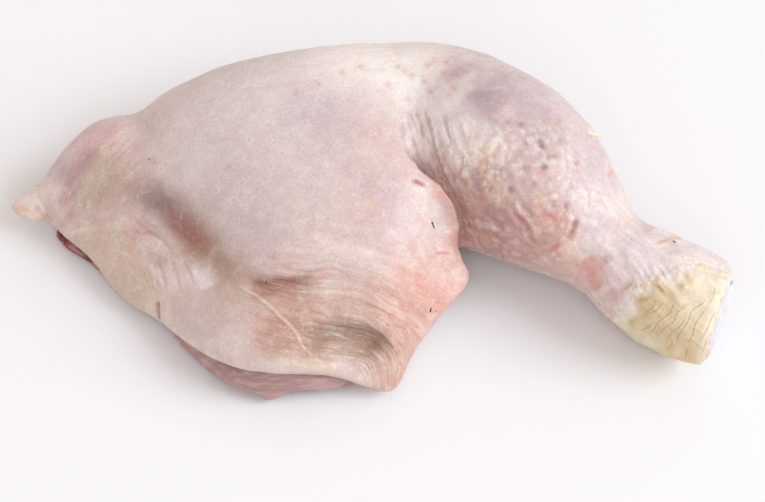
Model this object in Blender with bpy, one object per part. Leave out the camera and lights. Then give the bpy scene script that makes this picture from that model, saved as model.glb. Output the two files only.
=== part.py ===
"""Raw chicken leg quarter: thigh and drumstick in their skin, lying skin side up.

X runs from the hip end to the cut hock, Y from the loose skin edge of the thigh to its far side,
and Z up from the surface that the leg lies on. Sizes are in millimetres, and MM turns them into
metres where a mesh is made.
"""

import math

import bmesh
import bpy
import numpy as np

MM = 0.001
GAP = 0.3  # between pieces that touch

# Thigh, as sections across X. Each row is x, then y and z of four places on the skin: its loose
# near edge, the foot of the muscle in the valley behind that edge, the top, and the far side.
# The last number is the height of the underside.
THIGH_SECTIONS = [
    (-105.8, 11.7, 9.9, 12.6, 11.7, 14, 12.6, 15.3, 10.8, 9),
    (-102.6, 6.3, 8.1, 9.9, 14.8, 16, 16.2, 19.6, 10.8, 5.4),  # hip end, where the tail flap comes out
    (-96.3, 0.5, 6.3, 4.5, 16.7, 19.8, 22.3, 28.6, 11.7, 1.8),
    (-88.2, -7.7, 5.4, 2.7, 18.4, 23.4, 27, 36, 12.6, 0),  # hip bump
    (-81, -18, 4.5, 1.8, 20.7, 24.3, 29.7, 36.9, 13.5, 0),
    (-74.7, -25.2, 4.5, 0, 21.6, 25.2, 31.9, 36.9, 14.4, 0),
    (-67.5, -30.6, 5.4, -5.4, 22.1, 25.2, 35.6, 41.9, 15.3, 0),
    (-59.4, -39.6, 8.1, -11.7, 22.9, 24.3, 39.1, 46.8, 16.2, 0),
    (-50.4, -48.6, 11.7, -20.7, 24.3, 23.4, 42.3, 51.8, 16.2, 0),
    (-40.5, -55.4, 14.4, -29.7, 25.7, 22.5, 45, 54.9, 16.2, 0),
    (-28.8, -57.6, 15.3, -35.1, 26.6, 21.6, 46.4, 58.5, 16.2, 0),
    (-15.3, -55.8, 11.7, -36.9, 26.1, 21.6, 46.8, 61.2, 16.2, 0),
    (-3.6, -56.2, 5.4, -38.7, 22.5, 21.6, 46.4, 63, 16.2, 0),
    (3.6, -56, 3, -39.6, 18, 21.6, 45.5, 63, 16.2, 0),
    (8.1, -45.9, 4.5, -35.1, 16.7, 20.7, 44.1, 62.1, 16.2, 0),
    (12.2, -38.7, 5.9, -30.6, 16.2, 18, 41.4, 58.5, 16.2, 0.9),
    (16.7, -31.9, 7.2, -26.1, 15.8, 12.6, 35.1, 49.5, 16.2, 2.7),
    (20.2, -27.9, 9, -22.5, 15.3, 4.5, 28.8, 36, 15.3, 4.5),
    (23.2, -25.2, 10.8, -21.2, 14.4, -4.5, 21.6, 18, 14.4, 7.2),
    (25.5, -23.4, 12.2, -21.6, 13.5, -18.9, 15.3, -13.5, 13.1, 10.8),  # tip of the lobe
]

# Drumstick: one tube along a bent axis. Each row is x, y, z of the axis, half width, half height.
DRUMSTICK_AXIS = [
    (-9, 45, 21.6, 7.2, 9),
    (5.4, 44.1, 22.9, 16.7, 17.6),
    (18.9, 33.3, 24.8, 23.4, 21.6),
    (31.9, 16.7, 25.7, 27.7, 25.7),
    (44.4, 4, 25.2, 25.6, 23.9),
    (55.7, -6.6, 22, 19.7, 18.6),
    (65.2, -16, 19.2, 13.3, 14.1),
    (74.7, -23.4, 17.1, 14.8, 15.8),
    (84.2, -31.1, 16.2, 16.2, 16.7),
    (94.5, -36, 15.8, 16.2, 16.5),
    (106.2, -41.4, 15.3, 16.2, 16.2),
]
HOCK_END_POINT = (97.1, -35.6, 16.0)
HOCK_END_FACING = (0.93, -0.37, 0.01)

# The yellow scale skin covers the near side of the hock, up to a slanting line.
SCALE_LINE_POINT = (77.0, -32.7, 18.0)
SCALE_LINE_FACING = (0.162, -0.98, -0.111)

# Cut joint end: two rounded knuckles side by side. Each row is how far across and up it lies from
# the middle of the cut, and its radii along, across and up.
HOCK_KNUCKLES = [(-5.4, 0.4, 6.2, 6.8, 10.3), (5.4, -0.4, 5.9, 6.5, 9.9)]
KNUCKLE_DEPTH = 3.6  # from the cut back to the middle of a knuckle

# Bare meat under the thigh. Each row is x, y and z of its near top edge, y of its far edge.
MEAT_SECTIONS = [
    (-99.9, 4, 2, 9),
    (-94.5, -2.2, 2.7, 19.8),
    (-88.2, -6.8, 2.9, 24.3),
    (-81.9, -13.1, 2.3, 25.2),
    (-72, -21.6, 2.7, 26.1),
    (-61.2, -36, 5.4, 30.6),
    (-50.4, -49.5, 9, 36),
    (-40.5, -56.7, 11.7, 39.6),
    (-28.8, -58.1, 12.6, 42.3),
    (-15.3, -55.8, 9, 43.2),
    (-7.2, -52.2, 4.5, 41.4),
    (-0.9, -44.1, 2.7, 34.2),
    (2.7, -32.4, 2.3, 23.4),
]
MEAT_MIDDLE = 13.5  # height of the meat inside the thigh

# Pale tip of tail skin at the hip end: x, y, z of its axis, half width, half height.
TAIL_AXIS = [
    (-96.3, 14, 10.3, 6.5, 4),
    (-102.6, 13.1, 9.9, 6.1, 3.8),
    (-107.1, 12.2, 9.1, 4.7, 3.1),
    (-110.7, 11.2, 8.4, 2.6, 1.7),
    (-112.8, 11, 8.4, 1.1, 1),
]

# Folds and hollows of the skin, seen from above: half width, depth, route.
FOLDS = {
    "hip_notch": (6.3, 1.4, [(-76, 41), (-74, 27), (-70, 14)]),
    "apron_hollow": (9.0, 1.4, [(-18, -41), (-9, -42), (-2, -38)]),
}

FINE_VOXEL = 1.4
LEG_TRIANGLES = 8000
LIFT = 1.0  # clear height under the skin where the leg doesn't rest

COLOURS = {  # red, green, blue in linear light, and roughness
    "leg": (0.72, 0.50, 0.45, 0.42),
    "thigh_meat": (0.36, 0.12, 0.11, 0.38),
    "shank_skin": (0.76, 0.62, 0.33, 0.5),
    "hock_cartilage": (0.66, 0.68, 0.82, 0.3),
    "tail_flap": (0.76, 0.56, 0.46, 0.45),
}


def unit(vector):
    vector = np.asarray(vector, float)
    return vector / np.linalg.norm(vector)


def smooth_through(rows, places, closed=False):
    """Values at fractional row numbers, on a smooth curve through the rows."""
    rows = np.asarray(rows, float)
    count = len(rows)
    base = np.floor(places).astype(int)
    part = (places - base)[:, None]

    def row(offset):
        index = base + offset
        return rows[index % count] if closed else rows[np.clip(index, 0, count - 1)]

    before, start, end, after = row(-1), row(0), row(1), row(2)
    return 0.5 * (
        2 * start
        + (end - before) * part
        + (2 * before - 5 * start + 4 * end - after) * part**2
        + (3 * start - before - 3 * end + after) * part**3
    )


def object_from(name, shape):
    """An object with the bmesh's mesh, which is freed."""
    shape.normal_update()
    bmesh.ops.recalc_face_normals(shape, faces=shape.faces)
    mesh = bpy.data.meshes.new(name)
    shape.to_mesh(mesh)
    shape.free()
    made = bpy.data.objects.new(name, mesh)
    bpy.context.collection.objects.link(made)
    return made


def tube(name, rings, first_tip, last_tip):
    """A closed body: rings of points bridged in turn, with a fan to a tip at each end."""
    shape = bmesh.new()
    loops = [[shape.verts.new(point * MM) for point in ring] for ring in rings]
    for near, far in zip(loops, loops[1:]):
        for i, point in enumerate(near):
            j = (i + 1) % len(near)
            shape.faces.new((point, near[j], far[j], far[i]))
    for loop, place in ((loops[0], first_tip), (loops[-1], last_tip)):
        tip = shape.verts.new(np.asarray(place, float) * MM)
        for i, point in enumerate(loop):
            shape.faces.new((loop[(i + 1) % len(loop)], point, tip))
    return object_from(name, shape)


def joined(name, bodies):
    """One object that holds the meshes of all bodies, which are removed."""
    shape = bmesh.new()
    for body in bodies:
        shape.from_mesh(body.data)
        bpy.data.objects.remove(body)
    return object_from(name, shape)


def apply_modifiers(body):
    """Replaces the object's mesh by what its modifiers make of it."""
    graph = bpy.context.evaluated_depsgraph_get()
    mesh = bpy.data.meshes.new_from_object(body.evaluated_get(graph))
    body.modifiers.clear()
    body.data = mesh


def cut(body, tool, operation="DIFFERENCE"):
    """Takes the tool from the body, or keeps what both share, and removes the tool."""
    step = body.modifiers.new("cut", "BOOLEAN")
    step.operation = operation
    step.solver = "EXACT"
    step.object = tool
    apply_modifiers(body)
    bpy.data.objects.remove(tool)


def remeshed(body, voxel):
    step = body.modifiers.new("even", "REMESH")
    step.mode = "VOXEL"
    step.voxel_size = voxel * MM
    apply_modifiers(body)


def thin_out(body, triangles):
    """Keeps the form with about as many triangles as given."""
    now = sum(len(face.vertices) - 2 for face in body.data.polygons)
    step = body.modifiers.new("thin", "DECIMATE")
    step.ratio = min(1.0, triangles / now)
    step.use_collapse_triangulate = True
    apply_modifiers(body)


def points_of(body):
    places = np.empty(len(body.data.vertices) * 3, np.float32)
    body.data.vertices.foreach_get("co", places)
    return places.reshape(-1, 3).astype(float) / MM


def set_points(body, places):
    body.data.vertices.foreach_set("co", (places * MM).astype(np.float32).ravel())
    body.data.update()


def thigh_section(near_y, near_z, foot_y, foot_z, top_y, top_z, far_y, far_z, under_z):
    """Places y, z on one closed section of the thigh, from the near edge over the top and back."""
    apron_y, apron_z = foot_y - near_y, foot_z - near_z
    dome_y, dome_z = top_y - foot_y, top_z - foot_z
    back_y, back_z = far_y - top_y, top_z - far_z
    return [
        (near_y, near_z),
        (near_y + 0.14 * apron_y, near_z + 0.27 * apron_z),
        (near_y + 0.50 * apron_y, near_z + 0.61 * apron_z),
        (foot_y, foot_z),
        (foot_y + 0.20 * dome_y, foot_z + 0.38 * dome_z),
        (foot_y + 0.50 * dome_y, foot_z + 0.77 * dome_z),
        (top_y, top_z),
        (top_y + 0.50 * back_y, far_z + 0.90 * back_z),
        (top_y + 0.82 * back_y, far_z + 0.58 * back_z),
        (far_y, far_z),
        (top_y + 0.88 * back_y, under_z + 0.36 * (far_z - under_z)),
        (top_y + 0.60 * back_y, under_z),
        (0.5 * (near_y + far_y), under_z),
        (near_y + 0.22 * (far_y - near_y), under_z),
        (near_y + 0.05 * (far_y - near_y), under_z + 0.55 * (near_z - under_z)),
    ]


def meat_section(near_y, near_z, far_y, grow):
    """Places y, z on one closed section of the bare meat, larger by grow on all sides but below."""
    across = far_y - near_y
    top = max(near_z, MEAT_MIDDLE * min(1.0, across / 60))
    lean = 0.2 * near_z
    return [
        (near_y - grow, 0.0),
        (near_y + 0.3 * lean - grow, 0.55 * near_z),
        (near_y + lean - grow, near_z + grow),
        (near_y + 0.12 * across, near_z + 0.35 * (top - near_z) + grow),
        (near_y + 0.35 * across, top + grow),
        (near_y + 0.75 * across, top + grow),
        (far_y + grow, 0.55 * top),
        (far_y + grow, 0.0),
        (far_y - 0.5 * across, 0.0),
    ]


def lofted(name, rows, section, steps, sides, end=0.0):
    """A closed body through the sections of rows whose first number is x."""
    rows = smooth_through(rows, np.linspace(0, len(rows) - 1, steps))
    rings = []
    for row in rows:
        places = section(*row[1:])
        if sides:
            turn = np.arange(sides) * len(places) / sides
            places = smooth_through(places, turn, closed=True)
        rings.append(np.column_stack([np.full(len(places), row[0]), places]))
    rings[0][:, 0] -= end
    rings[-1][:, 0] += end
    tips = [rings[i].mean(axis=0) + (step, 0, 0) for i, step in ((0, -0.4), (-1, 0.4))]
    return tube(name, rings, *tips)


def swept(name, rows, steps, sides, grow=0.0):
    """A tube along an axis whose rows are x, y, z, half width and half height."""
    rows = smooth_through(rows, np.linspace(0, len(rows) - 1, steps))
    axis = rows[:, :3]
    along = np.gradient(axis, axis=0)
    along /= np.linalg.norm(along, axis=1)[:, None]
    across = np.cross(along, (0, 0, 1))
    across /= np.linalg.norm(across, axis=1)[:, None]
    up = np.cross(across, along)
    turn = np.linspace(0, 2 * math.pi, sides, endpoint=False)[:, None]
    wide, high = rows[:, 3] + grow, rows[:, 4] + grow
    rings = [
        axis[i] + wide[i] * np.cos(turn) * across[i] + high[i] * np.sin(turn) * up[i]
        for i in range(steps)
    ]
    reach = 0.8 + grow
    return tube(name, rings, axis[0] - reach * along[0], axis[-1] + reach * along[-1])


def bare_meat(name, grow=0.0):
    def section(near_y, near_z, far_y):
        return meat_section(near_y, near_z, far_y, grow)

    return lofted(name, MEAT_SECTIONS, section, 46, 0, end=grow)


def knuckles(name, grow=0.0):
    """The cut joint end."""
    facing = unit(HOCK_END_FACING)
    side = unit(np.cross(facing, (0, 0, 1)))
    up = np.cross(side, facing)
    bodies = []
    for across, height, *radii in HOCK_KNUCKLES:
        middle = HOCK_END_POINT - facing * KNUCKLE_DEPTH + side * across + up * height
        shape = bmesh.new()
        bmesh.ops.create_uvsphere(shape, u_segments=28, v_segments=16, radius=1)
        for point in shape.verts:
            x, y, z = point.co
            sizes = np.array(radii) + grow
            place = middle + facing * z * sizes[0] + side * x * sizes[1] + up * y * sizes[2]
            point.co = place * MM
        bodies.append(object_from(name, shape))
    cut(bodies[0], bodies[1], "UNION")
    return bodies[0]


def block(name, point, facing, back=0.0, size=90.0):
    """A thick block beyond a plane through the point, moved back by a gap."""
    facing = unit(facing)
    level = (1, 0, 0) if abs(facing[2]) > 0.9 else (0, 0, 1)
    side = unit(np.cross(facing, level))
    up = np.cross(side, facing)
    shape = bmesh.new()
    bmesh.ops.create_cube(shape, size=size)
    for corner in shape.verts:
        x, y, z = corner.co
        place = point + side * x + up * y + facing * (z + size / 2 - back)
        corner.co = place * MM
    return object_from(name, shape)


def near_route(flat, route):
    """Distance in plan from each point to the route, and its share of the way along it."""
    route = np.asarray(route, float)
    best = np.full(len(flat), 1e9)
    share = np.zeros(len(flat))
    pieces = len(route) - 1
    for i in range(pieces):
        step = route[i + 1] - route[i]
        part = np.clip((flat - route[i]) @ step / (step @ step), 0, 1)
        away = np.linalg.norm(flat - route[i] - part[:, None] * step, axis=1)
        closer = away < best
        best[closer] = away[closer]
        share[closer] = (i + part[closer]) / pieces
    return best, share


def fold_skin(body):
    """Presses the folds and hollows into the upper side, along the surface's own normals."""
    places = points_of(body)
    normals = np.array([v.normal for v in body.data.vertices])
    upper = np.clip(normals[:, 2] * 3 + 0.6, 0, 1)
    depth = np.zeros(len(places))
    for half_width, deep, route in FOLDS.values():
        away, share = near_route(places[:, :2], route)
        taper = np.clip(np.minimum(share, 1 - share) * 4 + 0.25, 0, 1)
        depth += deep * taper * np.exp(-((away / half_width) ** 2))
    set_points(body, places - normals * (depth * upper)[:, None])


def soften(body):
    """Smooths the skin: much over the knee, where it runs on, and little at the deep fold."""
    places = points_of(body)
    knee = np.exp(-(((places[:, 0] - 8) / 13.5) ** 2) - ((places[:, 1] - 41) / 21) ** 2)
    group = body.vertex_groups.new(name="over_knee")
    for i, weight in enumerate(np.clip(knee * 1.8, 0, 1)):
        group.add([i], float(weight), "REPLACE")
    for name, repeats, where in (("knee", 140, "over_knee"), ("all", 9, "")):
        step = body.modifiers.new(name, "SMOOTH")
        step.factor = 0.5
        step.iterations = repeats
        step.vertex_group = where
    apply_modifiers(body)
    body.vertex_groups.clear()


def largest_piece(body):
    """Drops crumbs that a cut left beside the body."""
    shape = bmesh.new()
    shape.from_mesh(body.data)
    bmesh.ops.remove_doubles(shape, verts=shape.verts, dist=0.00002)
    left = set(shape.faces)
    pieces = []
    while left:
        queue = [left.pop()]
        piece = set(queue)
        while queue:
            for edge in queue.pop().edges:
                for face in edge.link_faces:
                    if face in left:
                        left.discard(face)
                        piece.add(face)
                        queue.append(face)
        pieces.append(piece)
    keep = max(pieces, key=len)
    drop = [face for piece in pieces if piece is not keep for face in piece]
    bmesh.ops.delete(shape, geom=drop, context="FACES")
    bmesh.ops.triangulate(shape, faces=shape.faces)
    shape.to_mesh(body.data)
    shape.free()


def finish(bodies):
    """Centres the leg over the origin, and gives each piece its material and shading."""
    low = np.min([points_of(body).min(axis=0) for body in bodies], axis=0)
    high = np.max([points_of(body).max(axis=0) for body in bodies], axis=0)
    centre = np.array([(low[0] + high[0]) / 2, (low[1] + high[1]) / 2, low[2]])
    for body in bodies:
        set_points(body, points_of(body) - centre)
        *colour, roughness = COLOURS[body.name]
        material = bpy.data.materials.new(body.name)
        material.use_nodes = True
        surface = material.node_tree.nodes["Principled BSDF"]
        surface.inputs["Base Color"].default_value = (*colour, 1)
        surface.inputs["Roughness"].default_value = roughness
        surface.inputs["Metallic"].default_value = 0.0
        body.data.materials.clear()
        body.data.materials.append(material)
        body.data.shade_smooth()


def main():
    for old in list(bpy.data.objects):
        bpy.data.objects.remove(old)
    thigh = lofted("thigh", THIGH_SECTIONS, thigh_section, 130, 150)
    drumstick = swept("drumstick", DRUMSTICK_AXIS, 70, 72)
    leg = joined("leg", [thigh, drumstick])
    remeshed(leg, FINE_VOXEL)
    soften(leg)
    fold_skin(leg)
    thin_out(leg, LEG_TRIANGLES)
    cut(leg, block("beyond_hock", HOCK_END_POINT, HOCK_END_FACING))

    # The scale skin is the near part of the hock.
    shank = bpy.data.objects.new("shank_skin", leg.data.copy())
    bpy.context.collection.objects.link(shank)
    cut(shank, block("scales", SCALE_LINE_POINT, SCALE_LINE_FACING), "INTERSECT")
    cut(leg, block("seat_of_scales", SCALE_LINE_POINT, SCALE_LINE_FACING, back=GAP))

    # Level undersides.
    cut(shank, block("below_shank", (80, -27, 0), (0, 0, -1)))
    cut(leg, block("below_leg", (0, 0, LIFT), (0, 0, -1), size=300))

    # The other pieces, each in a seat.
    meat = bare_meat("thigh_meat")
    cut(leg, bare_meat("seat_of_meat", GAP))
    tail = swept("tail_flap", TAIL_AXIS, 14, 20)
    cut(leg, swept("seat_of_tail", TAIL_AXIS, 14, 20, GAP))
    cartilage = knuckles("hock_cartilage")
    for body in (leg, shank):
        cut(body, knuckles("seat_of_cartilage", GAP))
    bodies = [leg, meat, shank, cartilage, tail]
    for body in bodies:
        largest_piece(body)
    finish(bodies)


main()
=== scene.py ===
"""Raw chicken leg quarter on a white table: thigh and drumstick in their skin, the yellow scale skin
of the shank, the bare meat under the thigh, the tip of tail skin and the cut hock joint.

Sizes and places are in millimetres, and MM turns them into metres where a mesh is made.
"""

import math

import bmesh
import bpy
import numpy as np
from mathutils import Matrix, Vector, kdtree


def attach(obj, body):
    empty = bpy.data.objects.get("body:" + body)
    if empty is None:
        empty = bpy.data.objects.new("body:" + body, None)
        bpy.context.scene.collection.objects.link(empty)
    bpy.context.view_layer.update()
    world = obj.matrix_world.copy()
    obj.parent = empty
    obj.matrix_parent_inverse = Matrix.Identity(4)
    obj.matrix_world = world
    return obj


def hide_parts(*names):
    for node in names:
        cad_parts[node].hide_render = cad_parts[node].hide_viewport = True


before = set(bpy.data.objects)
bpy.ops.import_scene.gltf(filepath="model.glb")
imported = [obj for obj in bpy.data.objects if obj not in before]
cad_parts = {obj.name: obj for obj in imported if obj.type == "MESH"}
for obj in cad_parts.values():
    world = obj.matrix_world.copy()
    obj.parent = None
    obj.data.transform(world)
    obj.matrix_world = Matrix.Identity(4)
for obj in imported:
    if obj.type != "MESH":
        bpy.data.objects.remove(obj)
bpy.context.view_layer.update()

MM = 0.001

# ---- Table and light -------------------------------------------------------------------------
# A white lacquered table top by a wide window on the right, with a weaker soft light in front and
# white walls all round. They give the pale even ground and the soft brown contact shadow.


def linear(colour):
    """The linear red, green and blue of an sRGB hex colour, and full alpha."""
    parts = [int(colour[i : i + 2], 16) / 255 for i in (0, 2, 4)]
    parts = [c / 12.92 if c <= 0.04045 else ((c + 0.055) / 1.055) ** 2.4 for c in parts]
    return (*parts, 1.0)


def add_node(material, kind, settings, links=None):
    """A new node of the material. A setting is an input, by name or number, or a property."""
    node = material.node_tree.nodes.new("ShaderNode" + kind)
    for name, value in settings.items():
        if isinstance(name, int) or name in node.inputs:
            node.inputs[name].default_value = value
        else:
            setattr(node, name, value)
    for name, output in (links or {}).items():
        material.node_tree.links.new(output, node.inputs[name])
    return node


def new_material(name):
    """A new material, and the places on the piece that its patterns are drawn on."""
    material = bpy.data.materials.new(name)
    material.use_nodes = True
    material.node_tree.nodes.clear()
    return material, add_node(material, "TexCoord", {}).outputs["Object"]


def surfaced(material, settings, links):
    """Ends the material with its surface."""
    surface = add_node(material, "BsdfPrincipled", settings, links)
    add_node(material, "OutputMaterial", {}, {"Surface": surface.outputs["BSDF"]})


TABLE_WIDTH = 8.0  # metres
TABLE_GAP = 0.15  # below the meat, so that the two faces never meet
bpy.ops.object.select_all(action="DESELECT")
bpy.ops.mesh.primitive_plane_add(size=TABLE_WIDTH, location=(0, 0, -TABLE_GAP * MM))
table = bpy.context.object
table.name = "table"
lacquer, places = new_material("white_lacquered_table")
# Sprayed lacquer, nearly matt, with faint clouds 250 mm wide in its white.
clouds = add_node(lacquer, "TexNoise", {"Scale": 1 / 0.25, "Detail": 3.0}, {"Vector": places})
whites = {"data_type": "RGBA", 6: linear("ECECEB"), 7: linear("F0F0F0")}
white = add_node(lacquer, "Mix", whites, {0: clouds.outputs["Fac"]})
surfaced(lacquer, {"Roughness": 0.55, "Specular IOR Level": 0.25}, {"Base Color": white.outputs[2]})
table.data.materials.append(lacquer)

scene = bpy.context.scene
scene.view_settings.view_transform = "Standard"
room = bpy.data.worlds.new("white_room")
room.use_nodes = True
walls = room.node_tree.nodes["Background"].inputs
walls["Color"].default_value = linear("FFF1EB")
walls["Strength"].default_value = 0.71
scene.world = room

LIT_PLACE = Vector((0, 0, 0.02))
for name, location, size, energy in [  # metres and watts
    ("window_light", (3.4, -0.7, 2.35), 2.8, 130.0),
    ("near_light", (0.2, -2.6, 2.2), 2.4, 30.0),
]:
    bpy.ops.object.light_add(type="AREA", location=location)
    lamp = bpy.context.object
    lamp.name = name
    lamp.data.shape = "DISK"
    lamp.data.size = size
    lamp.data.energy = energy
    lamp.data.color = linear("E6F3FF")[:3]
    lamp.rotation_euler = (LIT_PLACE - lamp.location).to_track_quat("-Z", "Y").to_euler()

EYE = (5.534, -420.236, 498.120)
EYE_TILT = math.radians(40)  # from straight down
bpy.ops.object.camera_add(location=Vector(EYE) * MM, rotation=(EYE_TILT, 0, 0))
camera = bpy.context.object
camera.name = "camera"
camera.data.lens = 100
camera.data.sensor_width = 36
scene.camera = camera

# ---- Skin of the thigh and drumstick ---------------------------------------------------------
# Plucked chicken skin, one soft sheet with the meat under it: smooth over the thigh, gathered in
# fine creases where it is pulled to the near edge, and full of goose bumps on the drumstick.

SKIN_VOXEL = 0.42
SKIN_TRIANGLES = 192000


def merged_copy(name, nodes, swell):
    """A new object with the merged meshes of CAD nodes, each pushed out a little to close gaps."""
    bpy.ops.object.select_all(action="DESELECT")
    for node in nodes:
        piece = bpy.data.objects.new(name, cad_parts[node].data.copy())
        piece.data.materials.clear()
        bpy.context.collection.objects.link(piece)
        piece.select_set(True)
        bpy.context.view_layer.objects.active = piece
        shape = bmesh.new()
        shape.from_mesh(piece.data)
        bmesh.ops.remove_doubles(shape, verts=shape.verts, dist=1e-6)
        shape.normal_update()
        for point in shape.verts:
            point.co += point.normal * swell * MM
        shape.to_mesh(piece.data)
        shape.free()
    if len(nodes) > 1:
        bpy.ops.object.join()
    piece = bpy.context.object
    piece.name = piece.data.name = name
    return piece


def modified(piece, kind, **settings):
    """Adds a modifier to the piece and applies it."""
    bpy.ops.object.select_all(action="DESELECT")
    piece.select_set(True)
    bpy.context.view_layer.objects.active = piece
    bpy.ops.object.modifier_add(type=kind)
    step = piece.modifiers[-1]
    for name, value in settings.items():
        setattr(step, name, value)
    bpy.ops.object.modifier_apply(modifier=step.name)


def evened(piece, voxel, rounds):
    """Rounds off the facets and gives the piece small even faces."""
    modified(piece, "SUBSURF", levels=1, render_levels=1)
    modified(piece, "REMESH", mode="VOXEL", voxel_size=voxel * MM)
    modified(piece, "SMOOTH", factor=0.5, iterations=rounds)


def per_point(piece, kind):
    found = np.empty(len(piece.data.vertices) * 3, np.float32)
    piece.data.vertices.foreach_get(kind, found)
    return found.reshape(-1, 3).astype(float)


def points_of(piece):
    return per_point(piece, "co") / MM


def normals_of(piece):
    return per_point(piece, "normal")


def set_points(piece, places):
    piece.data.vertices.foreach_set("co", (places * MM).astype(np.float32).ravel())
    piece.data.update()


def ramp(values, low, high):
    """Rises smoothly from 0 at low to 1 at high."""
    part = np.clip((values - low) / (high - low), 0, 1)
    return part * part * (3 - 2 * part)


def bell(values, width, power=2):
    """Falls from 1 at nought to almost 0 past the width, on both sides."""
    return np.exp(-((values / width) ** power))


def within(places, middle, reach, power=2):
    """1 at the middle, and almost 0 past the reach, which is one length or one for each axis."""
    return bell(np.linalg.norm((places - np.array(middle)) / reach, axis=1), 1, power)


def cloud(places, size, seed):
    """Smooth random numbers, from -1 to 1, in lumps of that size."""
    table = np.random.default_rng(seed).uniform(-1, 1, 4096)
    cell = np.asarray(places) / size
    base = np.floor(cell).astype(np.int64)
    part = cell - base
    part = part * part * (3 - 2 * part)
    total = 0
    for corner in np.ndindex(2, 2, 2):
        index = base + corner
        pick = (index[:, 0] * 73856093 ^ index[:, 1] * 19349663 ^ index[:, 2] * 83492791) % 4096
        total = total + np.where(corner, part, 1 - part).prod(axis=1) * table[pick]
    return total


def clouds_of(places, size, seed, layers=3):
    return sum(cloud(places, size / 2**i, seed + i) / 2**i for i in range(layers))


def along(points, route):
    """How far each point is from the route, how far along it that is, from 0 to 1, and the side.

    The side is 1 on the left of the route's run, as seen in the view or from above, and -1 on its right.
    """
    route = np.asarray(route, float)
    sides = np.ones(len(points))
    if len(route) == 1:
        return np.linalg.norm(points - route[0], axis=1), np.full(len(points), 0.5), sides
    steps = np.linalg.norm(np.diff(route, axis=0), axis=1)
    starts = np.concatenate([[0], np.cumsum(steps)])
    gaps = np.full(len(points), np.inf)
    shares = np.zeros(len(points))
    for start, end, step, before in zip(route, route[1:], steps, starts):
        if step < 1e-9:
            continue
        run, offset = end - start, points - start
        part = np.clip(offset @ run / step**2, 0, 1)
        gap = np.linalg.norm(offset - part[:, None] * run, axis=1)
        closer = gap < gaps
        gaps[closer] = gap[closer]
        shares[closer] = (before + part[closer] * step) / starts[-1]
        sides[closer] = np.where(run[0] * offset[closer, 1] > run[1] * offset[closer, 0], 1, -1)
    return gaps, shares, sides


def smooth_line(route):
    """The route as a smooth line of close places."""
    route = np.asarray(route, float)
    if len(route) == 1:
        return route
    padded = np.vstack([2 * route[0] - route[1], route, 2 * route[-1] - route[-2]])
    places = []
    for a, b, c, d in zip(padded, padded[1:], padded[2:], padded[3:]):
        for t in np.arange(0, 1, 1 / max(2, int(np.linalg.norm(c - b) / 0.7))):
            bend = (2 * a - 5 * b + 4 * c - d) * t**2 + (3 * b - a - 3 * c + d) * t**3
            places.append(0.5 * (2 * b + (c - a) * t + bend))
    return np.array(places + [route[-1]])


def on_surface(piece, route):
    """The route as a smooth line that lies on the piece."""
    return [np.array(piece.closest_point_on_mesh(Vector(p) * MM)[1]) / MM for p in smooth_line(route)]


SIGHT = np.array((0, math.sin(EYE_TILT), -math.cos(EYE_TILT)))
UPWARD = np.array((0, math.cos(EYE_TILT), math.sin(EYE_TILT)))  # up in the view
TO_EYE = np.array((-0.03, -0.65, 0.76)) / np.linalg.norm((-0.03, -0.65, 0.76))
VIEW_DEPTH = 650.25  # how far from the eye the view is measured


def seen(points):
    """Where points appear to the viewer: millimetres right of and above the middle of the view."""
    offset = np.asarray(points, float) - EYE
    return np.column_stack([offset[:, 0], offset @ UPWARD]) * VIEW_DEPTH / (offset @ SIGHT)[:, None]


PICTURE = (765, 502)  # pixels of the photo
PIXEL = VIEW_DEPTH * camera.data.sensor_width / camera.data.lens / PICTURE[0]


def looked_at(piece, pixel):
    """The place on the piece that the viewer sees at that pixel of the photo."""
    right, down = (np.array(pixel) - np.array(PICTURE) / 2) * PIXEL
    way = Vector(VIEW_DEPTH * SIGHT + (right, 0, 0) - down * UPWARD)
    return np.array(piece.ray_cast(Vector(EYE) * MM, way.normalized())[1]) / MM


def combed(flat, routes, spacing):
    """Places in skin that is drawn into lines by the routes, each on the left of the one before.

    Gives how far across the lines each point lies, how far along them, and 1 inside, 0 outside.
    """
    found = [along(flat, smooth_line(route)) for route in routes]
    across = np.zeros(len(flat))
    for (gap, _, side), (next_gap, _, next_side) in zip(found, found[1:]):
        first, second = np.maximum(gap * side, 0), np.maximum(-next_gap * next_side, 0)
        across += spacing * first / (first + second + 1e-9)
    weights = [1 / (gap**2 + 2) for gap, _, _ in found]
    share = sum(w * f[1] for w, f in zip(weights, found)) / sum(weights)
    length = np.linalg.norm(np.diff(np.array(routes[0]), axis=0), axis=1).sum()
    width = spacing * (len(routes) - 1)
    inside = ramp(across, 0, 0.9 * spacing) * ramp(width - across, 0, 0.9 * spacing) * ramp(share, 0, 0.15)
    return across, share * length, inside


def lines(across, run, size, length, seed):
    """Random lines across and along, mostly from -1 to 1."""
    return 2.2 * cloud(np.column_stack([across / size, run / length, np.full(len(run), 0.5)]), 1, seed)


def keep_values(piece, name, values):
    """Writes four values for each point as a colour attribute of the piece."""
    layer = piece.data.attributes.get(name)
    if layer is None:
        layer = piece.data.attributes.new(name, "FLOAT_COLOR", "POINT")
    layer.data.foreach_set("color", values.astype(np.float32).ravel())


LOWEST = 0.02  # height over the table that no point goes below


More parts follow.
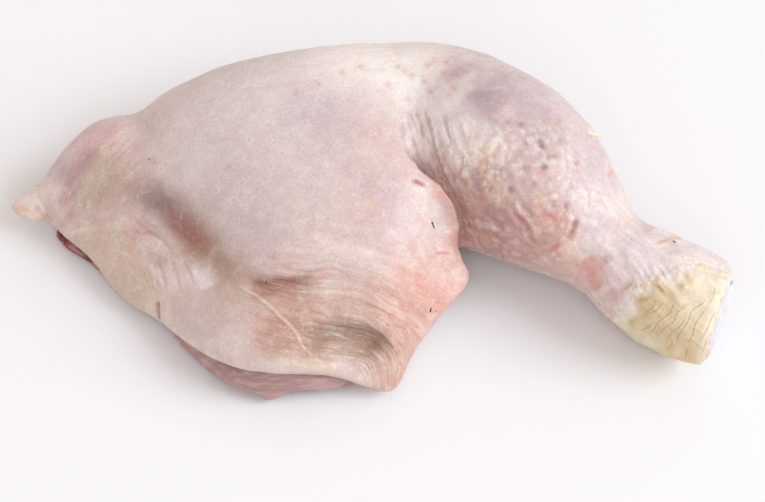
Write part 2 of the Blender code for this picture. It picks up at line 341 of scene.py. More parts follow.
class Painter:
    """Keeps the relief and the tint of a piece while they are drawn on it."""

    def __init__(self, piece, colour):
        self.piece = piece
        self.points = points_of(piece)
        self.normals = normals_of(piece)
        self.flat = seen(self.points)
        self.bent = self.flat + np.column_stack([clouds_of(self.points, 6, seed, 3) for seed in (5, 9)])
        self.facing = ramp(self.normals @ TO_EYE, -0.1, 0.2)
        self.lift = np.zeros(len(self.points))
        self.shift = np.zeros(self.points.shape)
        self.tint = np.tile(linear(colour)[:3], (len(self.points), 1))

    def dye(self, weights, colour):
        weights = np.clip(weights, 0, 1)[:, None]
        self.tint = self.tint * (1 - weights) + np.array(linear(colour)[:3]) * weights

    def patch(self, place, radius, colour, strength):
        """A soft spot of colour round the place."""
        self.dye(strength * within(self.points, place, radius), colour)

    def draw(
        self, near, places, route, fade, width, lift=0.0, colour=None, strength=1.0, shoulder=0.0, ends=0.25
    ):
        """Raises or sinks the skin along the route, and tints it.

        The shoulder is the height of the skin on both sides. ends is the share that fades out.
        """
        gap, share, _ = along(places, route)
        if len(route) > 1 and ends:
            fade = fade * ramp(share, 0, ends) * ramp(1 - share, 0, ends)
        weight = bell(gap, width) * fade
        self.lift[near] += lift * weight + shoulder * bell(gap - 1.9 * width, width) * fade
        if colour:
            dye = np.clip(strength * weight, 0, 1)[:, None]
            self.tint[near] = self.tint[near] * (1 - dye) + np.array(linear(colour)[:3]) * dye
        return weight

    def stroke(self, route, width, *look, **more):
        """Draws a route of places on the piece."""
        route = on_surface(self.piece, route)
        low, high = np.min(route, axis=0) - 4 * width, np.max(route, axis=0) + 4 * width
        near = np.where(((self.points > low) & (self.points < high)).all(axis=1))[0]
        self.draw(near, self.points[near], route, 1.0, width, *look, **more)

    def mark(self, route, width, *look, push=0.0, **more):
        """Draws a route of places in the view, on the side that is seen. push moves the skin away."""
        route = smooth_line(route)
        low, high = route.min(axis=0) - 4 * width, route.max(axis=0) + 4 * width
        near = ((self.flat > low) & (self.flat < high)).all(axis=1) & (self.facing > 0.01)
        near = np.where(near)[0]
        flat = self.bent if width > 1.6 else self.flat  # wide marks get an uneven edge
        weight = self.draw(near, flat[near], route, self.facing[near], width, *look, **more)
        self.shift[near] -= push * weight[:, None] * TO_EYE

    def finish(self):
        """Moves the mesh and writes the tint as its colour attribute."""
        places = self.points + self.normals * self.lift[:, None] + self.shift
        places[:, 2] = np.maximum(places[:, 2], LOWEST)
        set_points(self.piece, places)
        keep_values(self.piece, "tint", np.column_stack([self.tint, np.ones(len(self.tint))]))


def ways_at(points, normals, samples):
    """The way the skin's lines run at each point, blended from samples of places and ways."""
    total = np.zeros(points.shape)
    for place, way in samples:
        weight = 1 / (((points - place) ** 2).sum(axis=1) + 12) ** 2
        total += weight[:, None] * np.array(way)
    total -= (total * normals).sum(axis=1)[:, None] * normals
    return total / np.maximum(np.linalg.norm(total, axis=1), 1e-12)[:, None]


def streaks(points, ways, size, length, seed):
    """Random lines that run along the ways, with that size across and that length along."""
    total = 0
    for step in np.linspace(-1, 1, 9):
        moved = points + ways * step * length / 2
        total = total + math.exp(-((1.5 * step) ** 2)) * cloud(moved, size, seed)
    return total / total.std()


def scattered(points, spacing, seed, tries=40000):
    """Places picked at random from the points, none nearer to another than the spacing."""
    order = np.random.default_rng(seed).permutation(len(points))[:tries]
    taken = {}
    chosen = []
    reach = [(i, j, k) for i in (-1, 0, 1) for j in (-1, 0, 1) for k in (-1, 0, 1)]
    for point in points[order]:
        a, b, c = (int(v) for v in np.floor(point / spacing))
        near = [p for i, j, k in reach for p in taken.get((a + i, b + j, c + k), ())]
        if all(((p - point) ** 2).sum() > spacing**2 for p in near):
            taken.setdefault((a, b, c), []).append(point)
            chosen.append(point)
    return np.array(chosen)


def nearest(points, spots):
    """Distance from each point to the nearest spot, and that spot's number."""
    tree = kdtree.KDTree(len(spots))
    for i, spot in enumerate(spots):
        tree.insert(spot, i)
    tree.balance()
    found = [tree.find(point)[1:] for point in points]
    return np.array([f[1] for f in found]), np.array([f[0] for f in found])


leg = merged_copy("leg_skin", ["leg", "shank_skin", "tail_flap"], swell=0.2)
evened(leg, voxel=0.7, rounds=6)

# ---- the notch between the lobe and the drumstick, cut through along the line of sight
NOTCH_TOP, NOTCH_BOTTOM = 40, -3
NOTCH = [  # x and y of its corners at the top and at the bottom
    ((26.4, -34), (28.4, 2.3)),
    ((27.2, -36.2), (29.2, -0.1)),
    ((27.8, -39.1), (29.9, -3.4)),
    ((28.9, -41.5), (31.1, -5.9)),
    ((29.9, -44.2), (32.2, -8.9)),
    ((35.4, -41.3), (38, -5.7)),
    ((35.5, -38), (38.1, -2.2)),
    ((31, -35.8), (33.4, 0.3)),
    ((28.8, -34.4), (31, 1.9)),
]
shape = bmesh.new()
upper = [shape.verts.new(Vector((*high, NOTCH_TOP)) * MM) for high, low in NOTCH]
lower = [shape.verts.new(Vector((*low, NOTCH_BOTTOM)) * MM) for high, low in NOTCH]
shape.faces.new(upper)
shape.faces.new(lower[::-1])
for i in range(len(NOTCH)):
    shape.faces.new((upper[i - 1], upper[i], lower[i], lower[i - 1]))
bmesh.ops.recalc_face_normals(shape, faces=shape.faces[:])
notch = bpy.data.objects.new("notch", bpy.data.meshes.new("notch"))
shape.to_mesh(notch.data)
shape.free()
bpy.context.collection.objects.link(notch)
modified(leg, "BOOLEAN", object=notch, operation="DIFFERENCE", solver="EXACT")
bpy.data.objects.remove(notch)

# ---- large folds and hollows
form = Painter(leg, "FFFFFF")
LOBE_EDGE = seen([
    (9.5, 6.5, 43), (11.7, 1, 41.7), (14.3, -1.4, 40.1), (16.6, -3.6, 38.2), (19.6, -4.9, 36.5),
    (22.5, -7, 35.8), (24.5, -9.3, 34.5), (26.2, -11.4, 32.9), (27.1, -13, 29.8), (28.1, -14.2, 25.9),
    (27.9, -15, 22.3), (27.3, -16.9, 20.8), (28.2, -18.5, 18.7), (28.8, -20.2, 17),
])
gap, share, side = along(form.flat, LOBE_EDGE)
facing = ramp(form.normals @ TO_EYE, -0.2, 0.3)
deep = ramp(share, 0.0, 0.4) * within(form.points, (24, -9, 31), 30, 4) * (share < 1)
past = side * gap
sunk = 3.4 * deep * facing * bell(gap, 6.5, 1.5) * ramp(past, -0.2, 0.5)
form.shift -= sunk[:, None] * TO_EYE
form.lift += 0.7 * deep * facing * bell(past + 2.6, 2.2)
press = form.stroke
press(
    [
        (-70, 1, 24), (-62.7, -4, 24.5), (-57, -9.7, 23.8), (-50.8, -16.1, 24), (-44.5, -24, 24),
        (-39.9, -28.5, 24.8),
    ],
    5.5, -1.5,
)
press(
    [(-40, -31, 24.8), (-28.8, -36.5, 25.8), (-19.3, -37, 27.6), (-8.5, -36.5, 27.8), (0, -36, 27)], 3.2,
    -1.3,
)
press([(-26, -50, 20), (-14, -49, 20)], 7, -1.0, ends=0)
press(
    [(-36, -56.5, 15), (-29.6, -57.3, 17.3), (-24.7, -58.1, 17.5), (-17.7, -58.3, 15.9), (-10, -57.5, 12)],
    2.6, 0.7,
)
# the valley under the bulge, the groove at its foot, the hollow and the rim on its right
form.mark(
    [(-76.7, 18.7), (-70.5, 15.6), (-64.4, 12.9), (-59.5, 8.3), (-55.2, 2.1), (-49.7, -4.0), (-43.6, -8.3)],
    3.6, push=1.1,
)
form.mark([(-44.8, -8.6), (-36.9, -10.4), (-28.3, -10.1), (-18.5, -8.3)], 1.7, push=1.1, ends=0.3)
form.mark([(-19.7, -26.0), (-11.5, -27.2), (-5.7, -28.2)], 4.6, push=2.6, ends=0)
form.mark([(-16.1, -23.9), (-9.3, -24.8), (-3.8, -26.3), (-0.2, -29.1)], 1.9, push=1.3, ends=0.3)
form.mark([(-0.8, -21.7), (2.6, -25.4), (4.4, -30.3), (4.4, -35.8), (2.9, -40.7)], 2.1, push=-0.8)
form.mark([(-36.9, -31.5), (-28.3, -34.0), (-19.1, -36.1), (-10.6, -37.0)], 2.2, push=-0.8)
# single soft folds that run from the bulge to the lobe
form.mark([(-13.0, 7.0), (-0.8, 3.4), (9.0, -1.5), (17.6, -7.6)], 2.6, push=-0.2)
form.mark([(-9.3, 1.5), (0.5, -2.1), (9.6, -7.6), (16.4, -13.8)], 1.8, push=0.25)
form.mark([(-16.1, -11.9), (-6.3, -15.0), (2.9, -20.5), (9.0, -27.2)], 2.2, push=-0.25)
TAIL_BENDS = [  # place, radius, and how far the skin goes up in the view
    ((-102.5, 6.2, 8.7), 4.0, -1.5),
    ((-98.8, 5.2, 8.9), 3.5, -1.0),
    ((-100.5, 12, 12.7), 4.5, -0.7),
]
for place, radius, amount in TAIL_BENDS:
    form.shift += amount * within(form.points, place, radius)[:, None] * UPWARD
form.finish()
modified(leg, "REMESH", mode="VOXEL", voxel_size=SKIN_VOXEL * MM)
modified(leg, "SMOOTH", factor=0.5, iterations=4)

skin = Painter(leg, "D6C5C0")
points, normals, flat = skin.points, skin.normals, skin.flat
x, y = points[:, 0], points[:, 1]

# Where the skin changes: the drumstick starts behind the fold that the thigh makes over it.
gap, share, side = along(flat, LOBE_EDGE)
KNEE_FOLD = [  # y, and x where the drumstick starts
    (-60, 33), (-18, 30), (-14, 28), (-9.4, 25), (-5.9, 21), (-3.5, 17), (-0.8, 14.3), (3.5, 12.3),
    (8, 10.5), (20, 17), (30, 22), (45, 24), (60, 25),
]
fold_y, fold_x = np.array(KNEE_FOLD).T
past_fold = x - np.interp(y, fold_y, fold_x)
by_edge = bell(gap, 9) * ((share > 0.02) & (share < 1)) * skin.facing
past_fold = past_fold * (1 - by_edge) + side * gap * by_edge
soft = 1 + 6 * ramp(y, 4, 24)
drumstick = ramp(past_fold / soft, -0.4, 1.0)
thigh = 1 - drumstick

# ---- the way the lines of the skin run, at places on it
SKIN_WAYS = [  # both ends of short stretches of its lines, in pixels of the photo
    # apron
    ((250, 300), (290, 306)), ((290, 310), (330, 318)), ((270, 330), (320, 338)), ((300, 290), (345, 296)),
    ((260, 350), (310, 352)), ((220, 300), (250, 318)),
    # lobe
    ((330, 250), (370, 272)), ((370, 270), (405, 300)), ((345, 285), (385, 305)), ((400, 280), (425, 308)),
    ((385, 300), (405, 330)), ((400, 330), (412, 350)), ((345, 318), (375, 328)), ((385, 335), (398, 352)),
    ((398, 355), (402, 378)), ((432, 262), (452, 288)), ((420, 230), (445, 250)),
    # knee
    ((403, 120), (407, 150)), ((415, 115), (420, 150)), ((430, 135), (437, 165)), ((445, 150), (455, 180)),
    ((440, 110), (446, 135)), ((345, 110), (362, 140)), ((370, 150), (395, 185)), ((365, 105), (385, 145)),
    # dome of the thigh
    ((180, 120), (230, 116)), ((200, 180), (260, 185)), ((300, 200), (350, 210)), ((250, 220), (300, 228)),
    ((250, 80), (300, 70)), ((350, 60), (400, 58)),
    # hip
    ((95, 185), (135, 145)), ((70, 180), (95, 135)), ((100, 205), (118, 180)), ((110, 250), (135, 275)),
    ((150, 205), (190, 240)), ((205, 255), (245, 276)), ((150, 250), (170, 290)),
    # drumstick
    ((460, 90), (520, 108)), ((540, 100), (575, 140)), ((470, 180), (490, 215)), ((500, 190), (520, 225)),
    ((520, 150), (545, 185)), ((560, 170), (585, 200)), ((470, 235), (520, 250)), ((480, 130), (510, 150)),
    ((590, 150), (610, 180)), ((540, 230), (570, 255)),
    # ankle
    ((590, 230), (630, 250)), ((600, 270), (612, 300)), ((640, 240), (690, 250)), ((645, 262), (655, 280)),
    ((680, 255), (715, 262)), ((575, 260), (600, 285)), ((620, 230), (650, 250)),
]
samples = []
for pixels in SKIN_WAYS:
    start, end = (looked_at(leg, pixel) for pixel in pixels)
    samples.append(((start + end) / 2, (end - start) / np.linalg.norm(end - start)))
ways = ways_at(points, normals, samples)
fine_lines = streaks(points, ways, 0.7, 7, 17)
mid_lines = streaks(points, ways, 1.3, 11, 18)
wide_lines = streaks(points, ways, 2.6, 16, 19)

# ---- large soft forms
skin.lift += 0.30 * clouds_of(points, 17, 11, 2) * (1 - 0.4 * drumstick)
skin.lift += 0.08 * cloud(points, 4.2, 15)
skin.lift += 0.03 * cloud(points, 1.6, 16)

# ---- skin drawn into lines: the apron with the lobe, the knee, the hip and the veined strip
APRON = [
    [(-43.6, -30.9), (-31.4, -33.4), (-19.1, -35.5), (-11.5, -37.6), (-9.3, -41.3), (-9.3, -44.4)],
    [
        (-43.6, -26.6), (-31.4, -29.4), (-19.1, -31.5), (-9.9, -33.0), (-5.0, -35.8), (-3.2, -40.1),
        (-3.2, -43.8),
    ],
    [
        (-44.2, -21.7), (-31.4, -25.4), (-19.1, -27.8), (-9.3, -29.4), (-3.2, -31.5), (0.5, -35.8),
        (1.1, -42.5),
    ],
    [
        (-44.8, -16.8), (-32.9, -20.5), (-19.1, -23.3), (-9.3, -24.5), (-2.6, -26.6), (2.3, -31.5),
        (3.8, -37.6), (3.5, -43.1),
    ],
    [
        (-45.4, -12.5), (-32.9, -15.3), (-19.1, -18.4), (-8.4, -20.5), (-1.1, -23.9), (4.4, -29.1),
        (6.9, -34.6), (6.6, -41.9),
    ],
    [
        (-44.8, -9.2), (-32.9, -11.3), (-19.1, -13.2), (-8.1, -15.6), (0.2, -19.0), (7.2, -24.5),
        (11.5, -30.9),
    ],
    [(-40.5, -5.8), (-28.3, -7.3), (-16.1, -7.6), (-5.0, -9.8), (4.4, -14.4), (12.7, -19.0), (18.2, -22.9)],
    [(-34.4, -0.9), (-25.2, -1.5), (-14.5, -1.8), (-5.0, -4.0), (4.1, -8.0), (12.7, -12.9), (21.3, -18.7)],
    [(-29.8, 3.4), (-17.6, 2.4), (-6.3, 0.6), (3.5, -3.1), (12.7, -7.0), (20.0, -11.3), (25.6, -15.0)],
    [(-25.2, 8.9), (-14.5, 8.3), (-3.8, 6.1), (6.0, 3.1), (15.1, -0.6), (21.9, -4.0), (26.8, -7.6)],
    [(-22.2, 14.4), (-11.5, 13.8), (-0.8, 11.9), (9.0, 9.2), (17.6, 5.5), (24.3, 0.9)],
]
KNEE = [
    [(4.4, 42.5), (4.7, 37.6), (6.0, 32.1), (8.4, 26.6)],
    [(6.3, 43.8), (7.8, 37.0), (9.0, 30.9), (11.8, 25.4)],
    [(8.7, 44.4), (10.6, 38.2), (11.8, 32.1), (13.9, 26.0), (17.6, 20.5)],
    [(11.5, 45.0), (13.3, 38.2), (14.8, 30.9), (17.0, 24.2), (20.7, 17.4)],
    [(14.8, 44.4), (17.0, 37.0), (18.5, 30.3), (20.7, 23.6), (23.7, 15.6)],
    [(19.7, 42.5), (21.3, 36.4), (22.8, 30.3), (24.9, 23.6), (27.1, 15.6)],
    [(25.6, 40.1), (27.1, 34.0), (28.9, 27.8), (31.1, 21.7), (32.9, 14.4)],
]
HIP = [
    [(-75.4, 41.6), (-82.8, 38.9), (-89.2, 34.6), (-94.4, 29.1), (-98.7, 21.7), (-101.7, 13.8)],
    [(-73.9, 39.5), (-80.3, 35.8), (-85.8, 30.9), (-90.4, 25.4), (-94.1, 18.1), (-96.2, 10.1)],
    [(-72.4, 36.7), (-77.6, 32.1), (-82.2, 26.9), (-86.1, 20.5), (-89.2, 13.2), (-90.7, 5.8)],
    [(-70.5, 33.4), (-74.2, 28.5), (-77.9, 22.6), (-80.9, 16.2), (-83.4, 8.9), (-84.6, 0.9)],
]
VEINED = [
    [(-85.2, 3.4), (-80.9, -2.1), (-77.0, -8.3), (-73.9, -15.0)],
    [(-82.2, 7.6), (-77.0, 2.4), (-72.1, -3.4), (-68.1, -10.1), (-65.6, -16.2)],
    [(-79.1, 11.9), (-73.0, 7.0), (-67.2, 1.5), (-62.0, -4.6), (-57.7, -11.9)],
    [(-75.4, 15.0), (-69.3, 10.7), (-62.9, 5.2), (-56.8, -1.5), (-50.9, -9.5)],
]
across, run, apron = combed(flat, APRON, 5.0)
across = across + 0.7 * cloud(points, 5, 21) + 0.25 * cloud(points, 1.8, 22)
apron = apron * skin.facing * thigh
patchy = ramp(cloud(points, 8, 24), -0.6, 0.5)
top_fade = 1 - 0.75 * ramp(across, 26, 42)
soft_lines = lines(across, run, 1.9, 15, 31)
thin_lines = lines(across, run, 1.05, 11, 32)
hair_lines = lines(across, run, 0.62, 7, 33)
creases = ramp(-lines(across, run, 1.15, 13, 34), 0.30, 0.75) * apron * (0.25 + 0.75 * patchy)
hair_creases = ramp(-thin_lines, 0.30, 0.8) * apron * (0.5 + 0.5 * patchy)
skin.lift += apron * top_fade * (0.11 * soft_lines + 0.11 * thin_lines + 0.06 * hair_lines)
skin.lift -= top_fade * (0.17 * creases + 0.10 * hair_creases)
apron_across, apron_run, apron_lines = across, run, soft_lines

across, run, knee = combed(flat, KNEE, 3.6)
knee = knee * skin.facing * ramp(past_fold, -0.6, 0.4)
knee_across, knee_run = across + 0.5 * cloud(points, 4, 23), run
knee_soft = lines(knee_across, run, 1.9, 15, 35)
knee_creases = ramp(-lines(knee_across, run, 1.2, 12, 36), 0.15, 0.7) * knee
skin.lift += knee * (0.26 * knee_soft + 0.12 * lines(knee_across, run, 0.9, 9, 37)) - 0.22 * knee_creases

across, run, hip = combed(flat, HIP, 6.0)
hip = hip * skin.facing
hip_across, hip_run = across + 1.0 * cloud(points, 7, 25), run
hip_lines = lines(hip_across, run, 1.1, 11, 38)
skin.lift += hip * (0.05 * hip_lines + 0.10 * lines(hip_across, run, 2.6, 16, 39))

across, run, veined = combed(flat, VEINED, 5.0)
veined = veined * skin.facing
vein_across, vein_run = across + 0.9 * cloud(points, 5, 26), run
veins = ramp(-lines(vein_across, run, 1.5, 9, 40), 0.25, 0.8) * veined
skin.lift += veined * 0.14 * lines(vein_across, run, 1.9, 11, 41) - 0.16 * veins

rest = (1 - apron) * thigh
skin.lift += 0.018 * rest * fine_lines + 0.03 * rest * mid_lines

# ---- goose bumps of the drumstick: lumps of many sizes, drawn out beside the knee, whose paler tops are painted highlight
BUMP_SPACING, BUMP_HEIGHT, PIT_DEPTH = 2.7, 0.34, 0.30
down_leg = x - y * 0.4
smooth_top = within(points, (38, 14, 51), (17, 13, 12))
bumpy = drumstick * (1 - ramp(down_leg, 72, 84)) * (1 - 0.8 * smooth_top)
middle = within(flat, (37.5, 21.7), (21, 20), 4) * skin.facing
on_drum = np.where(bumpy > 0.03)[0]
drum_points = points[on_drum]
bend = np.column_stack([cloud(drum_points, 2.6, seed) for seed in (46, 47, 48)])
warped = drum_points + 0.8 * bend
spots = scattered(warped, BUMP_SPACING, 41)
gap, number = nearest(warped, spots)
own = np.random.default_rng(42).random((len(spots), 2))[number]
offset = warped - spots[number]
along_way = (offset * ways[on_drum]).sum(axis=1)
gap = np.sqrt(np.maximum(gap**2 - (0.25 + 0.45 * knee[on_drum]) * along_way**2, 0))
bump = np.clip(1 - (gap / (0.95 + 1.10 * own[:, 0])) ** 2, 0, 1) ** 1.2 * (0.15 + 0.85 * own[:, 1])
bump_height = np.zeros(len(points))
bump_height[on_drum] = bump * (0.5 + 0.5 * ramp(-normals[on_drum][:, 1], -0.3, 0.6))
bump_height *= bumpy * (0.30 + 0.70 * ramp(cloud(points, 7, 45), -0.6, 0.3))
skin.lift += (BUMP_HEIGHT + 0.20 * middle) * bump_height
lumps = clouds_of(points, 4.4, 49, 3)
skin.lift += bumpy * (0.12 + 0.18 * middle) * lumps + bumpy * 0.05 * mid_lines
bend = np.column_stack([cloud(points, 1.5, seed) for seed in (56, 57, 58)])
pits = ramp(-clouds_of(points + 0.5 * bend, 2.6, 59, 2), 0.45, 0.95)
pits *= bumpy * (0.25 + 0.75 * middle)
skin.lift -= PIT_DEPTH * pits

# crusts of dried film in the middle of the drumstick
CRUST_HEIGHT = 0.13
crust = ramp(clouds_of(points, 2.1, 62, 3), 0.12, 0.30) * ramp(cloud(points, 6, 63), -0.5, 0.1)
crust *= within(flat, (35.0, 30.3), (15.5, 8), 4) * skin.facing
skin.lift += CRUST_HEIGHT * crust

# ---- dry wrinkled skin of the ankle and the hock
dry = drumstick * ramp(down_leg, 70, 84)
dry_lumps = clouds_of(points, 3.6, 53, 3)
skin.lift += dry * (0.06 * fine_lines + 0.10 * mid_lines + 0.14 * wide_lines + 0.14 * dry_lumps)

# ---- follicles on the thigh: a pit with a raised rim each
PORE_SPACING, PORE_DEPTH, RIM_HEIGHT = 5.2, 0.30, 0.10
pores = scattered(points[drumstick < 0.5], PORE_SPACING, 43)
gap, number = nearest(points, pores)
pore_own = np.random.default_rng(44).random(len(pores))[number] ** 1.7
pore_own = pore_own * (0.30 + 0.70 * within(points, (-38, -4, 40), (34, 20, 30)))
pore = bell(gap, 0.42) * pore_own * thigh
pore_ring = bell(gap - 1.0, 0.4) * pore_own * thigh
skin.lift += RIM_HEIGHT * pore_ring - PORE_DEPTH * pore

# ---- colour: the tones that thin raw skin takes from what lies beneath it, and three darker tones that are painted shade
TONES = {
    "cream": "F6EFE7",  # thick fat under tight skin
    "pale": "DFD3CF",  # tight skin over lean meat
    "rose": "D9BBB3",  # blood in the skin
    "ash": "D9D2CF",  # tight skin with little blood in it
    "cool": "C6B7BA",  # lean meat that shines through
    "slope_shade": "C0A8A4",  # the same on slopes, with more of the dark meat, darkened as painted shade
    "mauve": "AF9AA1",  # dark meat close beneath
    "sallow": "C6B09B",  # old yellowish fat
    "flesh": "D0A191",  # wet thin skin
    "tan": "B98C78",  # wet thin skin in folds and on near slopes, darkened as painted shade
    "shaded_dark_meat": "A4736B",  # dark meat under the drumstick, darkened as painted shade
    "chalk": "E4DBD9",  # dry skin of the ankle
}
for place, radius, tone, strength in [
    ((-79, 14, 27), 16, "rose", 0.6),  # hip
    ((-78, 5, 24), 10, "sallow", 0.6),
    ((-80, -8, 13), 13, "sallow", 0.65),  # lower flap
    ((-69, -21, 11), 14, "sallow", 0.8),
    ((-12.7, 12.8, 46), 14, "cool", 0.85),  # top of the thigh
    ((-36, -6, 40), 14, "cool", 0.3),
    ((6.7, 3.3, 43), 13, "rose", 0.6),  # in front of the knee
    ((6.7, -20.6, 35), 12, "rose", 0.5),
    ((19.8, 25.5, 46), 15, "cream", 0.9),  # over the knee
    ((-4, 34.8, 45), 16, "cream", 0.7),
    ((-19, 25, 46), 16, "pale", 0.6),
    ((16.6, -32.4, 18), 13, "flesh", 0.9),  # lobe
    ((10.7, -41.9, 16), 12, "flesh", 0.85),
    ((-20, -41.5, 25), 13, "tan", 0.55),  # apron, darkened as painted shade
    ((-18, -49.6, 21), 10, "tan", 0.65),
    ((-22, -58, 17), 6, "pale", 0.5),
    ((9.3, -54, 8), 8, "flesh", 0.8),
    ((-39.6, -38.8, 21), 8, "sallow", 0.5),
]:
    skin.patch(place, radius, TONES[tone], strength)
skin.dye(drumstick, "DCC9C5")
for place, radius, tone, strength in [
    ((61, 2, 45), 13, "chalk", 0.8),  # top of the calf
    ((54, 14, 47), 10, "pale", 0.6),
    ((57, -14, 41), 9, "rose", 0.5),
    ((34, -3, 47), 10, "cream", 0.5),  # yellowish bumps
    ((26, 6, 47), 8, "pale", 0.7),  # frosted skin by the fold
    ((40, -20, 29), 12, "shaded_dark_meat", 0.8),  # under side, painted shade
    ((31, -15, 25), 10, "shaded_dark_meat", 0.9),
    ((50, -22, 27), 10, "shaded_dark_meat", 0.45),
    ((61, -27, 25), 9, "flesh", 0.6),  # ankle
    ((68, -24, 31), 9, "chalk", 0.7),
    ((79, -30, 31), 12, "chalk", 0.9),
    ((94, -28, 31), 12, "chalk", 0.9),
]:
    skin.patch(place, radius, TONES[tone], strength)
# washes of tone along routes in the view; those in the darker slope, fold and under-drumstick tones are
# painted shade
for route, width, tone, strength in [
    ([(1.1, 9.5), (-0.8, 18.7)], 11, "slope_shade", 0.6),  # slope towards the lobe, painted shade
    ([(-27.7, 9.5), (-32.6, 4.6)], 10, "slope_shade", 0.55),
    ([(-58.9, 30.9), (-52.2, 40.1), (-40.5, 47.4)], 13, "ash", 0.65),  # hip end of the thigh
    ([(-43.6, 15.6), (-39.9, 7.6)], 9, "cool", 0.55),
    ([(12.7, -9.5), (15.1, -15.0)], 7.5, "tan", 0.45),
    ([(4.1, -21.7), (9.0, -22.9)], 6.5, "tan", 0.65),
    ([(3.8, -34.9), (4.1, -39.5)], 6.0, "tan", 0.8),
    ([(-25.2, -24.2), (-16.1, -18.7), (-6.9, -17.4)], 6.0, "tan", 0.7),
    ([(-31.4, -26.0), (-25.2, -27.5), (-19.7, -29.1)], 6.5, "tan", 1.0),
    ([(-13.0, -27.8), (-6.3, -29.1)], 5.0, "tan", 0.5),
    ([(-0.2, 35.2), (1.7, 30.9)], 7, "rose", 0.4),
    ([(-21.6, 43.8), (-15.5, 41.9)], 8, "cool", 0.4),
    ([(48.2, 11.9), (51.9, 9.5)], 5, "tan", 0.4),
    ([(45.1, 23.3), (42.1, 18.7)], 9, "slope_shade", 0.9),  # drumstick, starting with painted shade on its slope
    ([(63.5, 21.7), (66.6, 15.6)], 8, "pale", 0.85),
    ([(58.6, 34.0), (62.3, 29.1)], 8, "cool", 0.5),
    ([(49.1, 10.7), (51.3, 5.2)], 6, "tan", 0.55),
    ([(29.2, 20.5), (26.8, 15.6)], 5.5, "shaded_dark_meat", 0.6),
    ([(29.2, 10.1), (35.3, 7.6)], 7, "shaded_dark_meat", 0.95),
    ([(26.8, 11.3), (32.3, 8.3)], 5, "shaded_dark_meat", 0.5),
    ([(34.7, 2.8), (42.1, 0.3)], 5, "shaded_dark_meat", 0.7),
    ([(17.0, 11.9), (19.4, 6.4)], 4, "cream", 0.3),  # rim of the lobe, painted light where it turns from the lamp
    ([(4.1, 58.4), (14.5, 54.8), (21.3, 53.5)], 9, "cream", 0.98),  # far slope of the knee: cream fat, made paler still as painted light on the top of the knee
    ([(-16.1, 57.8), (-5.4, 59.1)], 7, "cream", 0.6),
    ([(-85.2, 20.5), (-87.7, 15.6)], 8, "slope_shade", 0.8),  # hip, painted shade on its low side
    ([(-96.8, 21.7), (-98.1, 15.6)], 5, "mauve", 0.6),
    ([(-74.2, -15.0), (-68.1, -16.8)], 8, "sallow", 0.4),
]:
    skin.mark(route, width, 0, TONES[tone], strength, ends=0)
flap = within(points, (-74, -16, 12), 26, 4)
skin.dye(0.40 * flap * ramp(clouds_of(points, 4.5, 80, 3), 0.1, 1.0), "DDCFBE")
skin.dye(0.35 * flap * ramp(-clouds_of(points, 3.4, 83, 3), 0.2, 1.1), "B59A86")

# mauve meat that shines through on top of the drumstick, in soft clouds
mauve = ramp(clouds_of(points, 7, 64, 2), -0.9, 0.5)
for route, width, colour, strength in [
    ([(28.0, 57.8), (36.0, 56.0), (43.9, 51.1), (50.6, 45.6)], 7.0, "D2C8CA", 0.5),
    ([(17.0, 45.6), (24.9, 48.7), (32.9, 49.3), (40.9, 45.6), (48.8, 38.9)], 7.5, "C0B0B6", 0.85),
    ([(20.7, 49.3), (28.0, 48.0), (34.1, 44.4), (37.2, 40.1)], 7.0, "A9949D", 0.68),
    ([(24.9, 48.0), (29.8, 45.6), (33.5, 41.9)], 5.0, "9C8791", 0.34),
    ([(42.1, 42.5), (49.7, 37.0), (54.3, 30.9)], 5.5, "C2B0B3", 0.6),
]:
    gap = along(flat, route)[0]
    skin.dye(strength * mauve * skin.facing * drumstick * bell(gap, width), colour)
skin.dye(0.55 * smooth_top * (1 - skin.facing), "B9A5AB")
skin.mark([(15.8, 43.8), (19.4, 41.3), (23.1, 38.2)], 6.2, 0, "F7F4F4", 0.95, ends=0)  # frosted skin

# ---- colour that follows the relief: creases darker with painted shade, ridges and goose bumps paler with painted highlight, than the skin between
low_lobe = ramp(-apron_across, -38, -14) * ramp(flat[:, 0], -6, 8) * apron
# painted shade in the creases of the apron and the lobe
skin.dye(0.36 * creases * top_fade * (1 - low_lobe), "A67F6C")
skin.dye(0.40 * creases * low_lobe, "C28779")
skin.dye(0.28 * hair_creases * top_fade, "B48B7A")
# painted highlight on the raised lines of the apron
skin.dye(0.24 * apron * ramp(thin_lines + 0.4 * apron_lines, 0.3, 1.1), "EFDFD4")
red_lines = lines(apron_across, apron_run, 2.6, 9, 65) + 0.5 * cloud(points, 4, 66)
brown_lines = -lines(apron_across, apron_run, 3.0, 20, 67)
skin.dye(0.45 * low_lobe * ramp(red_lines, 0.15, 0.9), "DB9A8C")
skin.dye(0.18 * apron * top_fade * ramp(brown_lines, 0.1, 0.8), "B4927F")
# painted shade in the knee creases, and painted highlight on the raised knee lines
skin.dye(0.40 * knee_creases, "917A74")
skin.dye(0.50 * knee * ramp(knee_soft + 0.6 * cloud(points, 2.4, 84), 0.2, 1.0), "EAE1D8")
# cream and pink-brown streaks of the hip skin, laid so that the raised lines are paler with painted
# highlight and the sunk ones darker with painted shade
skin.dye(0.30 * hip * ramp(hip_lines, 0.1, 0.8), "E3D3C6")
skin.dye(0.25 * hip * ramp(-hip_lines, 0.1, 0.8), "BB9A92")
skin.dye(0.34 * veins, "C4979C")
# pale lines of painted highlight in the veined strip
skin.dye(0.40 * veined * ramp(lines(vein_across, vein_run, 1.6, 7, 41), 0.1, 0.8), "EBDAD6")
